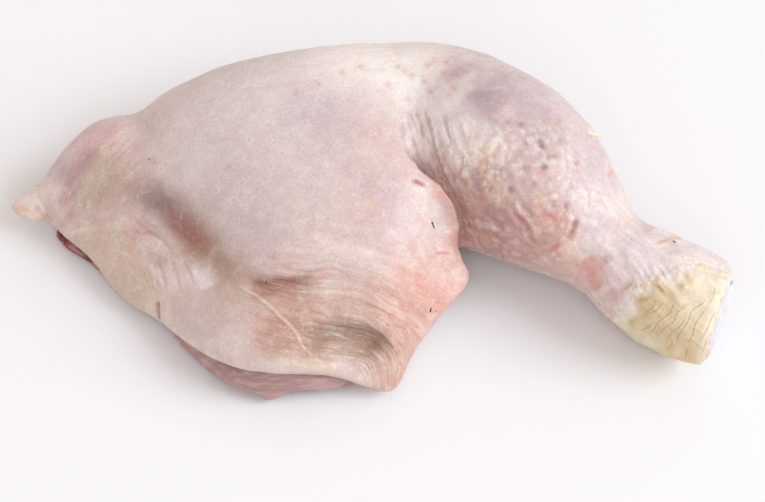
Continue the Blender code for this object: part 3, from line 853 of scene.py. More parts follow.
# painted shade between the goose bumps and painted highlight on their tops, then painted shade in the low
# places between the lumps and in the pits
skin.dye(0.22 * bumpy * (1 - np.clip(bump_height * 2.5, 0, 1)), "AE8A88")
skin.dye(0.40 * np.clip(bump_height * 1.3, 0, 1), "E8DAD1")
skin.dye((0.25 + 0.30 * middle) * bumpy * ramp(-lumps, 0.1, 1.0), "AD8280")
skin.dye(0.55 * pits, "9C6C68")
skin.dye(0.35 * middle * ramp(clouds_of(points, 5.0, 68, 2), 0.15, 0.8), "D8BE94")
skin.dye(0.35 * bumpy * ramp(clouds_of(points, 3.2, 69, 2), 0.4, 1.0), "D99A92")
skin.dye(0.75 * crust, "F1E8D8")
# painted highlight on the raised lumps of the dry skin, and painted shade in its hollows
skin.dye(0.35 * dry * ramp(dry_lumps + 0.4 * mid_lines, 0.0, 1.2), "F6F0EE")
skin.dye(0.22 * dry * ramp(-dry_lumps - 0.4 * wide_lines, 0.3, 1.4), "D3B4B0")
skin.dye(0.25 * dry * ramp(clouds_of(points, 4.4, 70, 2), 0.35, 0.9), "E9D9B0")
# painted shade in the pore pits and painted highlight on their raised rims
skin.dye(0.50 * pore, "8F7068")
skin.dye(0.30 * pore_ring, "EFE4DE")
# faint clouds over all of it: cream fat, pink and blue-grey meat under the skin
skin.dye(0.22 * ramp(clouds_of(points, 9, 71, 3), 0.2, 1.1), "E9DECF")
skin.dye(0.14 * ramp(clouds_of(points, 7, 74, 3), 0.3, 1.2), "D9A6A0")
skin.dye(0.20 * ramp(clouds_of(points, 11, 77, 3), 0.3, 1.2), "B3A5AE")

# ---- single folds, ridges and marks, with painted shade in the valley, the groove and the hollow
stroke, mark = skin.stroke, skin.mark
# the valley under the bulge: mauve and red-brown of the meat beneath, darkened as painted shade
mark(
    [(-76.0, 18.1), (-70.5, 15.9), (-64.4, 12.9), (-59.5, 8.3), (-55.2, 2.1), (-49.7, -4.0), (-44.2, -7.6)],
    5.8, 0, "A38478", 0.66, ends=0,
)
mark([(-71.1, 15.3), (-65.6, 13.5)], 4.6, -0.1, "897071", 0.68, ends=0)
mark([(-68.1, 13.8), (-63.8, 11.9)], 2.6, -0.1, "7F6A70", 0.25, ends=0)
mark([(-62.0, 8.9), (-58.9, 5.8), (-56.8, 2.8)], 4.4, -0.1, "935245", 0.66, ends=0)
mark([(-60.1, 7.0), (-57.7, 4.0)], 2.6, -0.1, "8E4C42", 0.30, ends=0)
mark([(-55.8, 0.3), (-52.2, -3.4), (-47.9, -6.4)], 4.6, 0, "A67F64", 0.40, ends=0)
# the groove at the foot of the bulge: a dark line of painted shade, with softer painted shade below it
mark(
    [(-45.4, -8.3), (-38.7, -9.8), (-31.4, -9.8), (-23.7, -8.6), (-16.1, -7.0)], 1.9, -0.3, "8A4E3F", 0.95,
    ends=0.4,
)
mark([(-43.6, -10.7), (-36.9, -12.2), (-28.3, -12.5), (-20.7, -11.3)], 3.0, 0, "AC7561", 0.55, ends=0.3)
# painted shade in the hollow of the apron, darkest in a narrow line
mark([(-13.6, -24.5), (-6.3, -25.7), (-0.8, -28.2)], 2.6, 0, "745943", 0.85, ends=0)
mark([(-21.0, -25.1), (-11.5, -26.3), (-3.2, -28.5)], 4.9, 0, "8E735C", 0.82, ends=0)
mark([(-20.3, -30.3), (-11.5, -31.5), (-5.0, -32.1)], 3.4, 0, "CDB5A4", 0.4)
mark([(1.7, -24.2), (3.8, -29.7), (4.7, -35.2), (4.1, -40.7)], 2.4, 0, "C6A08E", 0.6, ends=0.1)
mark([(-36.3, -31.5), (-27.7, -33.7), (-19.1, -35.8), (-11.8, -37.0)], 2.3, 0.1, "CBB9A5", 0.75, ends=0.12)
cord = [
    (-36.2, -35, 24), (-31.4, -38.5, 24.3), (-27.3, -42.3, 23.9), (-22.9, -46.5, 22.9),
    (-18.9, -49.9, 21.2), (-16.6, -53, 19.2), (-13.2, -56.1, 16.2), (-11, -57.2, 14),
]
stroke(cord, 0.5, 0.4, "E0C1AC", 0.8, shoulder=-0.1, ends=0.08)
# the edge of the flap and the folds on it
stroke(
    [(-89, -3, 7.8), (-86.8, -3.4, 11), (-84.1, -4.2, 12.8), (-79.9, -5.5, 14.8)], 0.8, 0.5, "DFD0BC", 0.6,
    shoulder=-0.25,
)
stroke([(-60.6, -30.2, 10.6), (-60.4, -34.1, 6.1)], 0.8, -0.9, "8E6F62", 0.7, ends=0.1)
mark([(-77.9, 7.0), (-74.2, 5.5), (-71.1, 5.8), (-66.9, 3.4)], 0.5, -0.3, "B98688", 0.55, shoulder=0.15)
mark([(-76.3, 8.9), (-72.4, 7.0), (-69.3, 7.6)], 3.6, 0, "C79AA4", 0.5)
mark([(-67.5, -3.4), (-64.4, -8.9), (-62.0, -14.4)], 4.6, 0, "E9DADB", 0.55)
mark([(-60.1, -5.2), (-55.8, -7.6), (-52.8, -11.9)], 3.4, 0, "F0E8E8", 0.7)
mark([(-85.2, 31.5), (-90.7, 27.8), (-95.0, 21.1), (-96.8, 13.8)], 2.6, -0.35, "A97C82", 0.7)
mark([(-96.8, 21.1), (-98.4, 15.6)], 3.5, 0, "AA8C88", 0.5)
mark([(-84.0, 22.9), (-87.1, 16.2)], 5.0, 0, "A48A77", 0.65, ends=0)  # mauve streak of the hip, darkened as painted shade on its low side
mark([(-80.3, 38.9), (-85.8, 36.1), (-91.0, 31.8)], 3.0, 0, "D9ACB5", 0.6)
mark([(-97.8, 14.4), (-96.2, 11.3)], 2.4, 0, "B97F78", 0.55, ends=0)
mark(
    [(-80.9, 32.1), (-87.1, 24.8), (-90.7, 15.6), (-90.1, 7.6)], 3.8, 0, "C6B69F", 0.45,
)  # cream strip beside it
for route, strength in [
    ([(-68.1, -3.4), (-66.9, -8.3), (-66.2, -13.8)], 0.35),
    ([(-65.0, -2.1), (-63.2, -7.0), (-62.0, -13.2)], 0.35),
    ([(-62.6, -0.9), (-59.5, -5.8), (-57.1, -11.3)], 0.315),
]:
    mark(route, 0.6, -0.2, "CF9EA7", strength, shoulder=0.1)

# ---- the fold over the drumstick, with painted shadow beside its edge, and the soft pink rim of the lobe
gap, share, side = along(flat, LOBE_EDGE)
in_fold = ramp(share, 0.05, 0.3) * (share < 1) * skin.facing * (side > 0)
# painted shadow of the lobe's edge on the drumstick, dark close to it and softer further out
skin.dye(0.75 * in_fold * bell(gap, 1.8), "80544E")
skin.dye(0.5 * in_fold * bell(gap, 4.5), "9A6D66")
mark([(12.7, 24.2), (17.6, 18.7), (20.7, 13.8), (21.9, 7.6), (21.3, 2.1)], 2.2, 0, "DDA396", 0.4)
mark([(21.3, -1.5), (23.7, -7.0), (22.5, -11.9)], 6.0, 0, "E0AFA1", 0.6, ends=0)
mark([(9.0, -9.5), (13.3, -13.2), (17.6, -16.2)], 6.0, 0, "D9A090", 0.5, ends=0)
for place in [(16.4, 16.8), (20.0, 3.4), (17.0, -15.0), (18.8, -18.7), (11.5, -10.7)]:
    mark([place], 2.2, 0, "D8877B", 0.45)

# ---- the lobe: small lumps, with pink flecks, and pale flecks on the lump tops that are painted highlight
on_lobe = within(flat, (17.6, -0.3), (13, 24), 4) * skin.facing * thigh
lobe_lumps = clouds_of(points, 2.0, 86, 3)
skin.lift += 0.09 * on_lobe * lobe_lumps
skin.dye(0.30 * on_lobe * ramp(clouds_of(points, 3.4, 87, 3), 0.2, 1.2), "D58E80")
skin.dye(0.12 * on_lobe, "F1E1D6")
skin.dye(0.30 * on_lobe * ramp(lobe_lumps, 0.2, 1.2), "F7EBE3")

# ---- creases and pits of the drumstick
mark(
    [(39.0, 13.8), (41.2, 10.7), (44.2, 7.6), (45.4, 4.0), (48.2, 1.2)], 0.8, -0.4, "AD7168", 0.75,
    shoulder=0.2,
)
mark(
    [(48.2, 1.2), (50.0, -0.3), (53.1, 1.5), (54.9, 2.4), (56.8, 4.0)], 0.7, -0.3, "B88078", 0.65,
    shoulder=0.15,
)
mark([(55.5, 3.1), (57.4, 4.6), (58.3, 7.3), (60.1, 10.4)], 0.85, -0.45, "A4635C", 0.8, shoulder=0.25)
mark([(40.9, 16.8), (43.0, 13.2), (46.4, 10.1)], 0.8, -0.2, "B48078", 0.45, shoulder=0.15)
mark([(50.6, 9.8), (53.7, 8.3)], 3.0, 0.25, "CF9084", 0.55, ends=0)
mark([(50.0, 10.4), (52.2, 9.8)], 1.5, -0.3, "BE7560", 0.6, ends=0)
mark([(52.8, 1.5)], 1.2, -0.2, "CC7A64", 0.65)
for route, width, depth, colour, strength in [
    ([(47.6, 34.9), (48.5, 32.7), (50.0, 31.2)], 1.0, -0.35, "8E6262", 0.8),
    ([(52.2, 30.3), (52.8, 27.8)], 1.1, -0.25, "A4886C", 0.65),
    ([(49.4, 25.7)], 1.2, -0.4, "7F6674", 0.8),
    ([(42.1, 38.9)], 1.1, -0.3, "927480", 0.65),
    ([(50.6, 28.8)], 0.9, -0.3, "957882", 0.6),
    ([(56.2, 13.8)], 1.2, -0.45, "A9665F", 0.8),
    ([(58.9, 27.8), (59.5, 26.0)], 0.7, -0.3, "B97A70", 0.7),
    ([(68.7, 24.8), (70.2, 22.9)], 1.3, -0.2, "D69A92", 0.7),
    ([(24.9, 22.6), (25.6, 19.6)], 1.3, -0.15, "B68B4C", 0.7),
    ([(21.3, 24.2), (22.5, 21.1)], 1.3, -0.3, "8F6A5C", 0.6),
    ([(29.8, 13.2), (32.9, 10.7)], 2.8, -0.2, "9A7284", 0.6),
    ([(43.3, 25.4)], 1.2, -0.4, "A0706C", 0.7),
    ([(38.4, 19.9), (39.6, 17.4)], 1.0, -0.4, "A4726C", 0.7),
    ([(46.1, 20.5)], 1.1, -0.35, "AD7E7C", 0.6),
    ([(34.1, 25.4)], 1.0, -0.35, "A88880", 0.6),
    ([(54.3, 34.0)], 1.1, -0.25, "B08F98", 0.6),
    ([(57.4, 19.9)], 1.0, -0.25, "BE8E88", 0.6),
]:
    mark(route, width, depth, colour, strength, shoulder=0.1, ends=0.35)
for route in [
    [(29.2, 9.2), (36.9, 6.4)],
    [(31.1, 10.7), (36.0, 5.8)],
    [(28.6, 7.3), (35.3, 6.7)],
]:
    mark(route, 0.4, 0.06, "DCC9C7", 0.6, ends=0.4)
# reddish and cream places round the ankle
for route, width, colour, strength in [
    ([(61.7, -2.1), (63.8, -7.0), (66.2, -11.9)], 3.4, "C97F72", 0.62),
    ([(67.2, -2.1), (68.4, -4.6)], 1.8, "CF9791", 0.55),
    ([(58.0, -0.9), (58.6, -4.0)], 1.8, "D3A094", 0.5),
    ([(67.8, -12.5), (70.2, -14.4), (72.1, -16.8)], 3.0, "BD9496", 0.5),
    ([(70.2, -7.6), (73.3, -9.5)], 2.2, "D9BCBA", 0.5),
    ([(68.4, 2.1), (73.3, 0.3)], 2.6, "EFE6E4", 0.55),
    ([(73.3, -13.8), (76.3, -16.2)], 1.6, "E6DCDA", 0.6),
    ([(69.0, -18.1), (72.1, -19.3)], 1.4, "D8B4B0", 0.5),
    ([(65.9, 4.6), (70.8, 3.4)], 3.4, "EBE0DE", 0.4),
    ([(54.3, 0.3), (60.4, 1.5)], 3.0, "EBD6C6", 0.6),
    ([(75.1, -3.4), (81.9, -2.1), (87.4, -3.4)], 5.0, "EFEAEA", 0.7),
    ([(72.1, 8.9), (75.7, 9.5)], 2.6, "EBDDBE", 0.45),
    ([(78.8, 8.9), (82.5, 6.4)], 2.2, "D2AFA0", 0.5),
    ([(84.3, 3.1), (88.0, 3.1), (90.7, 4.0)], 0.7, "D3B988", 0.5),
    ([(78.8, -20.5), (75.7, -23.6)], 2.6, "E8DED6", 0.5),
]:
    mark(route, width, 0, colour, strength, ends=0.1)
mark(
    [(81.2, 2.1), (84.9, 2.4), (88.3, 3.4), (92.3, 3.1)], 0.55, 0.3, "D9BE88", 0.7, shoulder=-0.08,
    ends=0.4,
)

# ---- small marks: red specks over the knee, orange and pink spots, short red scratches
for place in [
    (6.6, 55.1), (
        13.6, 56.9,
    ), (18.5, 54.5), (12.7, 52.0), (7.8, 46.5), (8.7, 53.9), (4.7, 56.6), (19.4, 57.8),
    (1.7, 51.1), (-6.9, 56.6), (-12.4, 54.8), (-19.7, 51.1), (-26.5, 48.7), (21.3, 49.9), (14.5, 48.7),
]:
    mark([place], 0.9, -0.08, "D1957C", 0.6)
for place, colour in [
    ((-3.8, 13.8), "DFB083"), ((-17.6, 1.8), "E2C49A"), (
        (-27.7, -2.8), "DDAE8E",
    ), ((-17.6, -7.3), "C9786A"),
    (
        (-36.9, -20.2), "D7A382",
    ), ((6.0, -6.1), "D08A7E"), ((2.9, -19.6), "CF8478"), ((-47.3, 25.7), "C9999C"),
    (
        (-69.9, 27.2), "CB9698",
    ), ((-77.0, 0.9), "CF9A62"), ((-89.8, 17.1), "AE8F92"), ((-33.8, -1.5), "A98F96"),
]:
    mark([place], 1.15, -0.06, colour, 0.65)
mark([(8.1, 22.0), (10.9, 21.1), (14.2, 19.3)], 0.65, -0.4, "B5472C", 0.95, shoulder=0.15, ends=0.4)
mark([(15.8, -0.9), (18.5, -0.6), (21.3, -0.9)], 0.42, -0.15, "C4554A", 0.85)
mark([(63.5, 37.6), (65.0, 36.4), (66.6, 34.9)], 0.9, 0.3, "E8D9A6", 0.6, ends=0)

# ---- the tail end of the skin, which runs on as the tip's own piece
TAIL_MARKS = [  # route, width, lift, colour, strength
    ([(-112.1, 15.0), (-108.5, 16.2), (-104.2, 18.1), (-101.7, 18.7)], 3.4, 0, "ECDDD4", 0.9),
    ([(-112.5, 13.8), (-110.3, 13.8)], 1.6, 0, "DDBFA8", 0.8),
    ([(-112.8, 12.5), (-109.7, 11.3), (-106.0, 10.4), (-101.7, 10.7)], 1.1, 0.1, "D6B08E", 0.7),
    ([(-110.3, 12.9), (-107.3, 12.2), (-104.8, 11.9)], 0.7, 0.1, "E2C7AC", 0.6),
    ([(-106.0, 14.4), (-103.9, 12.2), (-101.7, 9.8)], 0.7, -0.25, "BD9E8A", 0.55),
    ([(-103.0, 16.8), (-99.9, 13.8), (-98.1, 11.3)], 1.6, 0.25, "E0CFC3", 0.6),
]
for settings in TAIL_MARKS:
    skin.mark(*settings, ends=0)

# ---- the edge to the scale skin, and the end of the leg, where the skin was cut
SCALE_POINT = np.array((82.534, -34.964, 18.0))
SCALE_FACING = np.array((0.162, -0.98, -0.111)) / np.linalg.norm((0.162, -0.98, -0.111))
SCALE_LINE = [
    (67.8, -21.7), (71.5, -20.5), (74.8, -16.8), (77.0, -13.2), (80.6, -9.5), (84.9, -7.6), (89.8, -5.8),
    (94.7, -4.0), (100.2, -3.4), (106.9, -4.0),
]
SHANK_START = 66  # x
END_POINT = np.array((102.634, -37.864, 16.0))
END_FACING = np.array((0.93, -0.37, 0.01)) / np.linalg.norm((0.93, -0.37, 0.01))
gap, _, side = along(flat, SCALE_LINE)
coast = -side * gap * skin.facing + (points - SCALE_POINT) @ SCALE_FACING * (1 - skin.facing)
coast += 1.0 * cloud(points, 4.0, 51) + 0.6 * cloud(points, 1.5, 52)
to_end = (points - END_POINT) @ END_FACING
radial = points - END_POINT - to_end[:, None] * END_FACING
outward = (radial * normals).sum(axis=1) / np.maximum(np.linalg.norm(radial, axis=1), 1e-6)
on_shank = (x > SHANK_START) & (outward > 0.2)
lace = ramp(clouds_of(points, 2.0, 55, 3), -0.1, 0.4)
skin.dye(on_shank * (0.35 + 0.5 * lace) * bell(coast, 3.4), "E9E0CF")
skin.lift += on_shank * 0.18 * lace * bell(coast, 2.4)
skin.dye((x > SHANK_START) & (outward <= 0.2), "D5CCCD")
skin.finish()

# The material draws finer lines than the mesh can hold. It needs the place across and along the
# drawn lines, and how much the skin is drawn there.
drawn = np.zeros((len(points), 4))
parted = 0.35 + 0.65 * ramp(clouds_of(points, 6, 85, 2), -0.6, 0.9)
for across, run, amount in [
    (apron_across, apron_run, 0.9 * apron * top_fade),
    (knee_across, knee_run, 0.5 * knee * ramp(1 - knee_run / knee_run.max(), 0, 0.2)),
    (hip_across, hip_run, 0.45 * hip * ramp(1 - hip_run / hip_run.max(), 0, 0.2)),
    (vein_across, vein_run, 0.6 * veined * ramp(1 - vein_run / vein_run.max(), 0, 0.2)),
]:
    amount = amount * parted
    more = amount > drawn[:, 2]
    drawn[more, :3] = np.column_stack([across, run, amount])[more]
keep_values(leg, "drawn", drawn)

# The sheet for the scale skin is lifted off before the skin sinks under it.
sheet = leg.copy()
sheet.data = leg.data.copy()
sheet.name = sheet.data.name = "shank_scale_skin"
bpy.context.collection.objects.link(sheet)
wanted = on_shank & (coast > -1.2)
ISLAND_POINTS = 2000  # smaller islands of the sheet go
shape = bmesh.new()
shape.from_mesh(sheet.data)
shape.verts.ensure_lookup_table()
bmesh.ops.delete(shape, geom=[v for v in shape.verts if not wanted[v.index]], context="VERTS")
bmesh.ops.bisect_plane(
    shape,
    geom=shape.verts[:] + shape.edges[:] + shape.faces[:],
    plane_co=Vector(END_POINT - 0.5 * END_FACING) * MM,
    plane_no=Vector(END_FACING),
    clear_outer=True,
)
left = set(shape.verts)
while left:
    island = []
    reached = [left.pop()]
    while reached:
        point = reached.pop()
        island.append(point)
        for edge in point.link_edges:
            other = edge.other_vert(point)
            if other in left:
                left.remove(other)
                reached.append(other)
    if len(island) < ISLAND_POINTS:
        bmesh.ops.delete(shape, geom=island, context="VERTS")
        left = {v for v in left if v.is_valid}
shape.to_mesh(sheet.data)
shape.free()

SHEET_BED = 0.85  # how deep the skin sinks under the sheet
sunk = on_shank * ramp(coast, -0.1, 0.35) * ramp(-to_end, 0.1, 0.7)
set_points(leg, points_of(leg) - normals_of(leg) * SHEET_BED * sunk[:, None])


def drawn_out(piece):
    """The near side of the skin reaches over the joint, the far side ends before it, both rounded."""
    places = points_of(piece)
    to_end = (places - END_POINT) @ END_FACING
    radial = places - END_POINT - to_end[:, None] * END_FACING
    nearer = radial @ TO_EYE
    radial /= np.maximum(np.linalg.norm(radial, axis=1), 1e-6)[:, None]
    by_end = ramp(places[:, 0], SHANK_START, SHANK_START + 4) * ramp(to_end, -10, 0)
    height = places[:, 2]
    reach = (4.6 * ramp(nearer, -6, 9) - 2.6 - 1.6 * ramp(-height, -9, -1)) * by_end
    sink = (2.4 * ramp(height, 23, 31) + 1.4 * ramp(-height, -8, -1)) * by_end
    set_points(piece, places + reach[:, None] * END_FACING - sink[:, None] * radial)


drawn_out(leg)
ratio = min(1.0, SKIN_TRIANGLES / (2 * len(leg.data.polygons)))
modified(leg, "DECIMATE", ratio=ratio, use_collapse_triangulate=True)
leg.data.shade_smooth()


def veiled(material, under, pattern, start, end, most, colour):
    """The colour under, and up to most of another over it, from start to end of the pattern."""
    share = add_node(material, "MapRange", {1: start, 2: end, 3: 0.0, 4: most}, {0: pattern})
    veil = {"data_type": "RGBA", 7: linear(colour)}
    return add_node(material, "Mix", veil, {0: share.outputs[0], 6: under}).outputs[2]


raw_skin, places = new_material("raw_chicken_skin")
# Plucked skin with fat and meat under it: pale, a little see-through, moist, finely mottled. The
# tint on the mesh gives its zones; these give the eye blood and fat, grain and pores up close.
tint = add_node(raw_skin, "Attribute", {"attribute_name": "tint"}).outputs["Color"]
# blotches of blood and fat under the skin, 4 mm wide
blotch = {"Scale": 1 / 0.004, "Detail": 5.0, "Roughness": 0.65}
blotches = add_node(raw_skin, "TexNoise", blotch, {"Vector": places}).outputs["Fac"]
mixed = veiled(raw_skin, tint, blotches, 0.48, 0.74, 0.26, "D1A19B")
mixed = veiled(raw_skin, mixed, blotches, 0.50, 0.28, 0.30, "EEE6DF")
# grain of the skin, 0.8 mm
fine = {"Scale": 1 / 0.0008, "Detail": 4.0, "Roughness": 0.6}
grain = add_node(raw_skin, "TexNoise", fine, {"Vector": places}).outputs["Fac"]
mixed = veiled(raw_skin, mixed, grain, 0.50, 0.70, 0.28, "B98F87")
mixed = veiled(raw_skin, mixed, grain, 0.46, 0.30, 0.20, "F7F1EC")
# pores, 3 mm apart, only in some places
cells = add_node(raw_skin, "TexVoronoi", {"Scale": 1 / 0.003}, {"Vector": places}).outputs["Distance"]
dots = add_node(raw_skin, "MapRange", {1: 0.05, 2: 0.16, 3: 1.0, 4: 0.0}, {0: cells}).outputs[0]
some = add_node(raw_skin, "MapRange", {1: 0.50, 2: 0.60, 3: 0.0, 4: 0.30}, {0: blotches}).outputs[0]
dots = add_node(raw_skin, "Math", {"operation": "MULTIPLY"}, {0: dots, 1: some}).outputs[0]
mixed = veiled(raw_skin, mixed, dots, 0.0, 1.0, 1.0, "A77B70")
# fine lines of the drawn skin, 0.65 mm apart and 5 mm long
LINE_SPACING, LINE_LENGTH = 0.65, 5.0
drawn_places = add_node(raw_skin, "Attribute", {"attribute_name": "drawn"}).outputs["Vector"]
drawn_much = add_node(raw_skin, "SeparateXYZ", {}, {0: drawn_places}).outputs[2]
stretch = {"Scale": (1 / LINE_SPACING, 1 / LINE_LENGTH, 0.0)}
line_places = add_node(raw_skin, "Mapping", stretch, {"Vector": drawn_places}).outputs[0]
uneven = {"Scale": 1.0, "Detail": 3.0, "Roughness": 0.6}
drawn_lines = add_node(raw_skin, "TexNoise", uneven, {"Vector": line_places}).outputs["Fac"]
# painted shade in the furrows of the fine lines and painted highlight on their ridges
for start, end, most, colour in [(0.47, 0.36, 0.50, "A87D6B"), (0.54, 0.68, 0.40, "F3E8DF")]:
    share = add_node(raw_skin, "MapRange", {1: start, 2: end, 3: 0.0, 4: most}, {0: drawn_lines})
    share = add_node(raw_skin, "Math", {"operation": "MULTIPLY"}, {0: share.outputs[0], 1: drawn_much})
    mixed = veiled(raw_skin, mixed, share.outputs[0], 0.0, 1.0, 1.0, colour)
height = add_node(raw_skin, "Math", {"operation": "MULTIPLY"}, {0: drawn_lines, 1: drawn_much}).outputs[0]
relief = add_node(raw_skin, "Bump", {"Strength": 0.8, "Distance": 0.00022}, {"Height": grain}).outputs[0]
for settings, pattern in [
    ({"Strength": 0.9, "Distance": 0.0006}, height),
    ({"Strength": 0.5, "Distance": 0.00015, "invert": True}, dots),
]:
    relief = add_node(raw_skin, "Bump", settings, {"Height": pattern, "Normal": relief}).outputs[0]
# wet and dry places
wet = add_node(raw_skin, "MapRange", {1: 0.3, 2: 0.7, 3: 0.34, 4: 0.50}, {0: blotches}).outputs[0]
flesh_glow = {"Subsurface Weight": 0.18, "Subsurface Radius": (1.0, 0.45, 0.3), "Subsurface Scale": 0.0016}
surfaced(
    raw_skin,
    {"IOR": 1.42, **flesh_glow, "Coat Weight": 0.12, "Coat Roughness": 0.25},
    {"Base Color": mixed, "Roughness": wet, "Normal": relief},
)
leg.data.materials.append(raw_skin)
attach(leg, "root")
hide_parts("leg")

# ---- Scale skin of the shank -----------------------------------------------------------------
# The thick yellow skin of the foot, which starts on the hock: a horny sheet with bent cracks
# between its scales. It lies on the flesh, and the thin skin of the leg ends on it in flakes.

drawn_out(sheet)
modified(sheet, "SUBSURF", levels=1, render_levels=1)
scales = Painter(sheet, "D9C9AC")
points, normals, flat = scales.points, scales.normals, scales.flat
to_end = (points - END_POINT) @ END_FACING
SHEET_DROP, SHEET_THICKNESS, SHEET_FACES = 0.15, 0.75, 0.55
scales.lift += 0.14 * clouds_of(points, 3.2, 61, 2) - SHEET_DROP
mark = scales.mark
for route, width, colour, strength in [
    ([(94.1, -3.4), (99.0, -6.4), (100.8, -12.5)], 4.2, "E6DCC9", 0.6),
    ([(89.8, -7.6), (94.1, -13.8), (96.5, -19.9)], 3.2, "E2D3B4", 0.7),
    ([(78.8, -18.7), (85.5, -24.2), (92.3, -30.3)], 4.2, "CDB48A", 0.75),
    ([(97.2, -24.2), (97.2, -30.3)], 3.6, "E4CBA4", 0.7),
    ([(89.2, -32.1), (94.7, -34.6)], 2.6, "D6B58A", 0.7),
    ([(73.3, -20.5), (77.0, -25.4), (81.9, -29.1)], 2.6, "D8CDB0", 0.6),
    ([(82.5, -13.8), (86.1, -16.2)], 3.0, "D9C592", 0.6),
]:
    mark(route, width, 0, colour, strength, ends=0)
gap = along(flat, SCALE_LINE)[0]
lace = ramp(clouds_of(points, 1.8, 55, 3), -0.1, 0.4)
film = bell(gap, 3.2) * scales.facing
scales.dye(film * (0.45 + 0.55 * lace), "E7DED6")
scales.lift += 0.16 * film * lace
scales.dye(0.35 * ramp(clouds_of(points, 2.6, 63, 3), 0.1, 0.9), "C4AC74")
scales.dye(0.35 * ramp(clouds_of(points, 3.6, 66, 3), 0.1, 0.9), "EFE6D6")
for route, width, lift, colour, strength in [
    ([(77.0, -15.6), (80.3, -15.0), (83.7, -14.1)], 1.0, 0.35, "B7A04E", 0.8),
    ([(82.5, -8.6), (85.5, -11.6), (89.2, -14.7)], 0.75, 0.5, "CFA75E", 0.85),
    ([(83.7, -10.1), (86.1, -12.9)], 0.5, -0.25, "B68F50", 0.7),
    ([(92.3, -5.8), (94.4, -8.9), (96.2, -11.3)], 1.1, 0.3, "DDB679", 0.65),
    ([(91.0, -9.5), (93.2, -11.9)], 1.1, 0.3, "CFC183", 0.7),
    ([(95.3, -4.6), (97.8, -4.3), (100.2, -4.9)], 0.8, 0.3, "DEC888", 0.8),
    ([(74.8, -22.9), (77.0, -21.4), (78.8, -20.5)], 1.0, 0.2, "C3AB66", 0.7),
    ([(78.2, -18.7), (80.6, -16.8)], 0.9, 0.2, "CDBB85", 0.6),
]:
    mark(route, width, lift, colour, strength, ends=0.4)
for crack in [
    [(86.8, -15.3), (84.9, -16.5), (83.7, -18.1), (80.9, -19.3), (78.8, -21.7)],
    [(89.8, -14.7), (88.6, -16.8), (88.0, -18.7), (84.3, -21.7), (82.8, -24.2), (80.9, -25.7)],
    [(94.1, -15.6), (91.6, -17.4), (89.5, -19.6), (88.9, -21.7), (85.5, -24.2), (83.7, -26.9)],
    [
        (99.0, -12.5), (98.1, -15.6), (94.7, -18.1), (93.2, -21.7), (90.7, -25.4), (89.5, -29.1),
        (89.8, -31.5),
    ],
    [(99.6, -16.2), (97.2, -19.9), (95.3, -22.9), (94.7, -26.0), (92.3, -29.7)],
    [(102.7, -17.4), (100.5, -20.5), (99.3, -23.6), (97.2, -27.2), (96.2, -29.1)],
    [(83.4, -15.0), (82.2, -17.4), (79.7, -19.0)],
    [(82.5, -22.3), (80.3, -23.9), (78.5, -24.2)],
    [(92.3, -20.5), (91.0, -22.9), (88.0, -25.4), (86.1, -28.8)],
    [(88.6, -27.2), (88.0, -29.7), (86.1, -30.6)],
    [(93.5, -28.5), (92.9, -31.2), (92.3, -33.4)],
    [(101.7, -10.7), (101.1, -14.1), (99.9, -15.9)],
    [(100.8, -24.2), (98.7, -28.5), (97.2, -32.1)],
]:
    mark(crack, 0.22, -0.18, "B29A6C", 0.45, shoulder=0.06, ends=0.2)
scales.dye(0.6 * ramp(to_end, -1.5, -0.6), "E9DFCC")
scales.finish()
modified(sheet, "SOLIDIFY", thickness=SHEET_THICKNESS * MM, offset=-1.0)
modified(sheet, "DECIMATE", ratio=SHEET_FACES, use_collapse_triangulate=True)
sheet.data.shade_smooth()

scale_skin, places = new_material("scaly_shank_skin")
# Horny yellow foot skin, scalded and rubbed: waxy, smoother than the rest, with fine stains.
tint = add_node(scale_skin, "Attribute", {"attribute_name": "tint"}).outputs["Color"]
broad, fine = {"Scale": 1 / 0.003, "Detail": 4.0}, {"Scale": 1 / 0.0007, "Detail": 3.0}
stains = add_node(scale_skin, "TexNoise", broad, {"Vector": places}).outputs["Fac"]
grain = add_node(scale_skin, "TexNoise", fine, {"Vector": places}).outputs["Fac"]
mixed = veiled(scale_skin, tint, stains, 0.5, 0.75, 0.3, "C7AC78")
mixed = veiled(scale_skin, mixed, grain, 0.5, 0.3, 0.25, "F3EBDD")
relief = add_node(scale_skin, "Bump", {"Strength": 0.5, "Distance": 0.00015}, {"Height": grain}).outputs[0]
sheen = add_node(scale_skin, "MapRange", {1: 0.3, 2: 0.7, 3: 0.36, 4: 0.5}, {0: stains}).outputs[0]
waxy = {"Subsurface Weight": 0.15, "Subsurface Radius": (1.0, 0.6, 0.3), "Subsurface Scale": 0.0012}
surfaced(scale_skin, {"IOR": 1.45, **waxy}, {"Base Color": mixed, "Roughness": sheen, "Normal": relief})
sheet.data.materials.append(scale_skin)
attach(sheet, "root")
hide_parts("shank_skin")

# ---- Cut hock joint --------------------------------------------------------------------------
# The two rounded ends of the shank bone, capped with wet whitish cartilage, where the foot was cut
# off through the joint.

joint = merged_copy("hock_cartilage_ends", ["hock_cartilage"], swell=0.25)
evened(joint, voxel=0.45, rounds=4)
caps = Painter(joint, "D9D8D8")
points = caps.points
caps.lift += 0.15 * cloud(points, 3.0, 71) + 0.06 * cloud(points, 1.1, 72)
caps.dye(np.clip(0.6 * cloud(points, 3.5, 73), 0, 1), "E3E1E0")
caps.dye(np.clip(0.5 * cloud(points, 4.5, 74), 0, 1), "C3C4CC")
caps.mark([(105.4, -8.9), (106.6, -9.5)], 1.1, -0.2, "48466C", 0.85, ends=0)
caps.mark([(103.9, -21.7), (102.7, -24.2)], 1.6, 0, "C6C9D4", 0.6, ends=0)
caps.dye(ramp(-((points - END_POINT) @ END_FACING), 0.5, 2.5), "D8BDB8")
caps.finish()
joint.data.shade_smooth()

cartilage, places = new_material("wet_joint_cartilage")
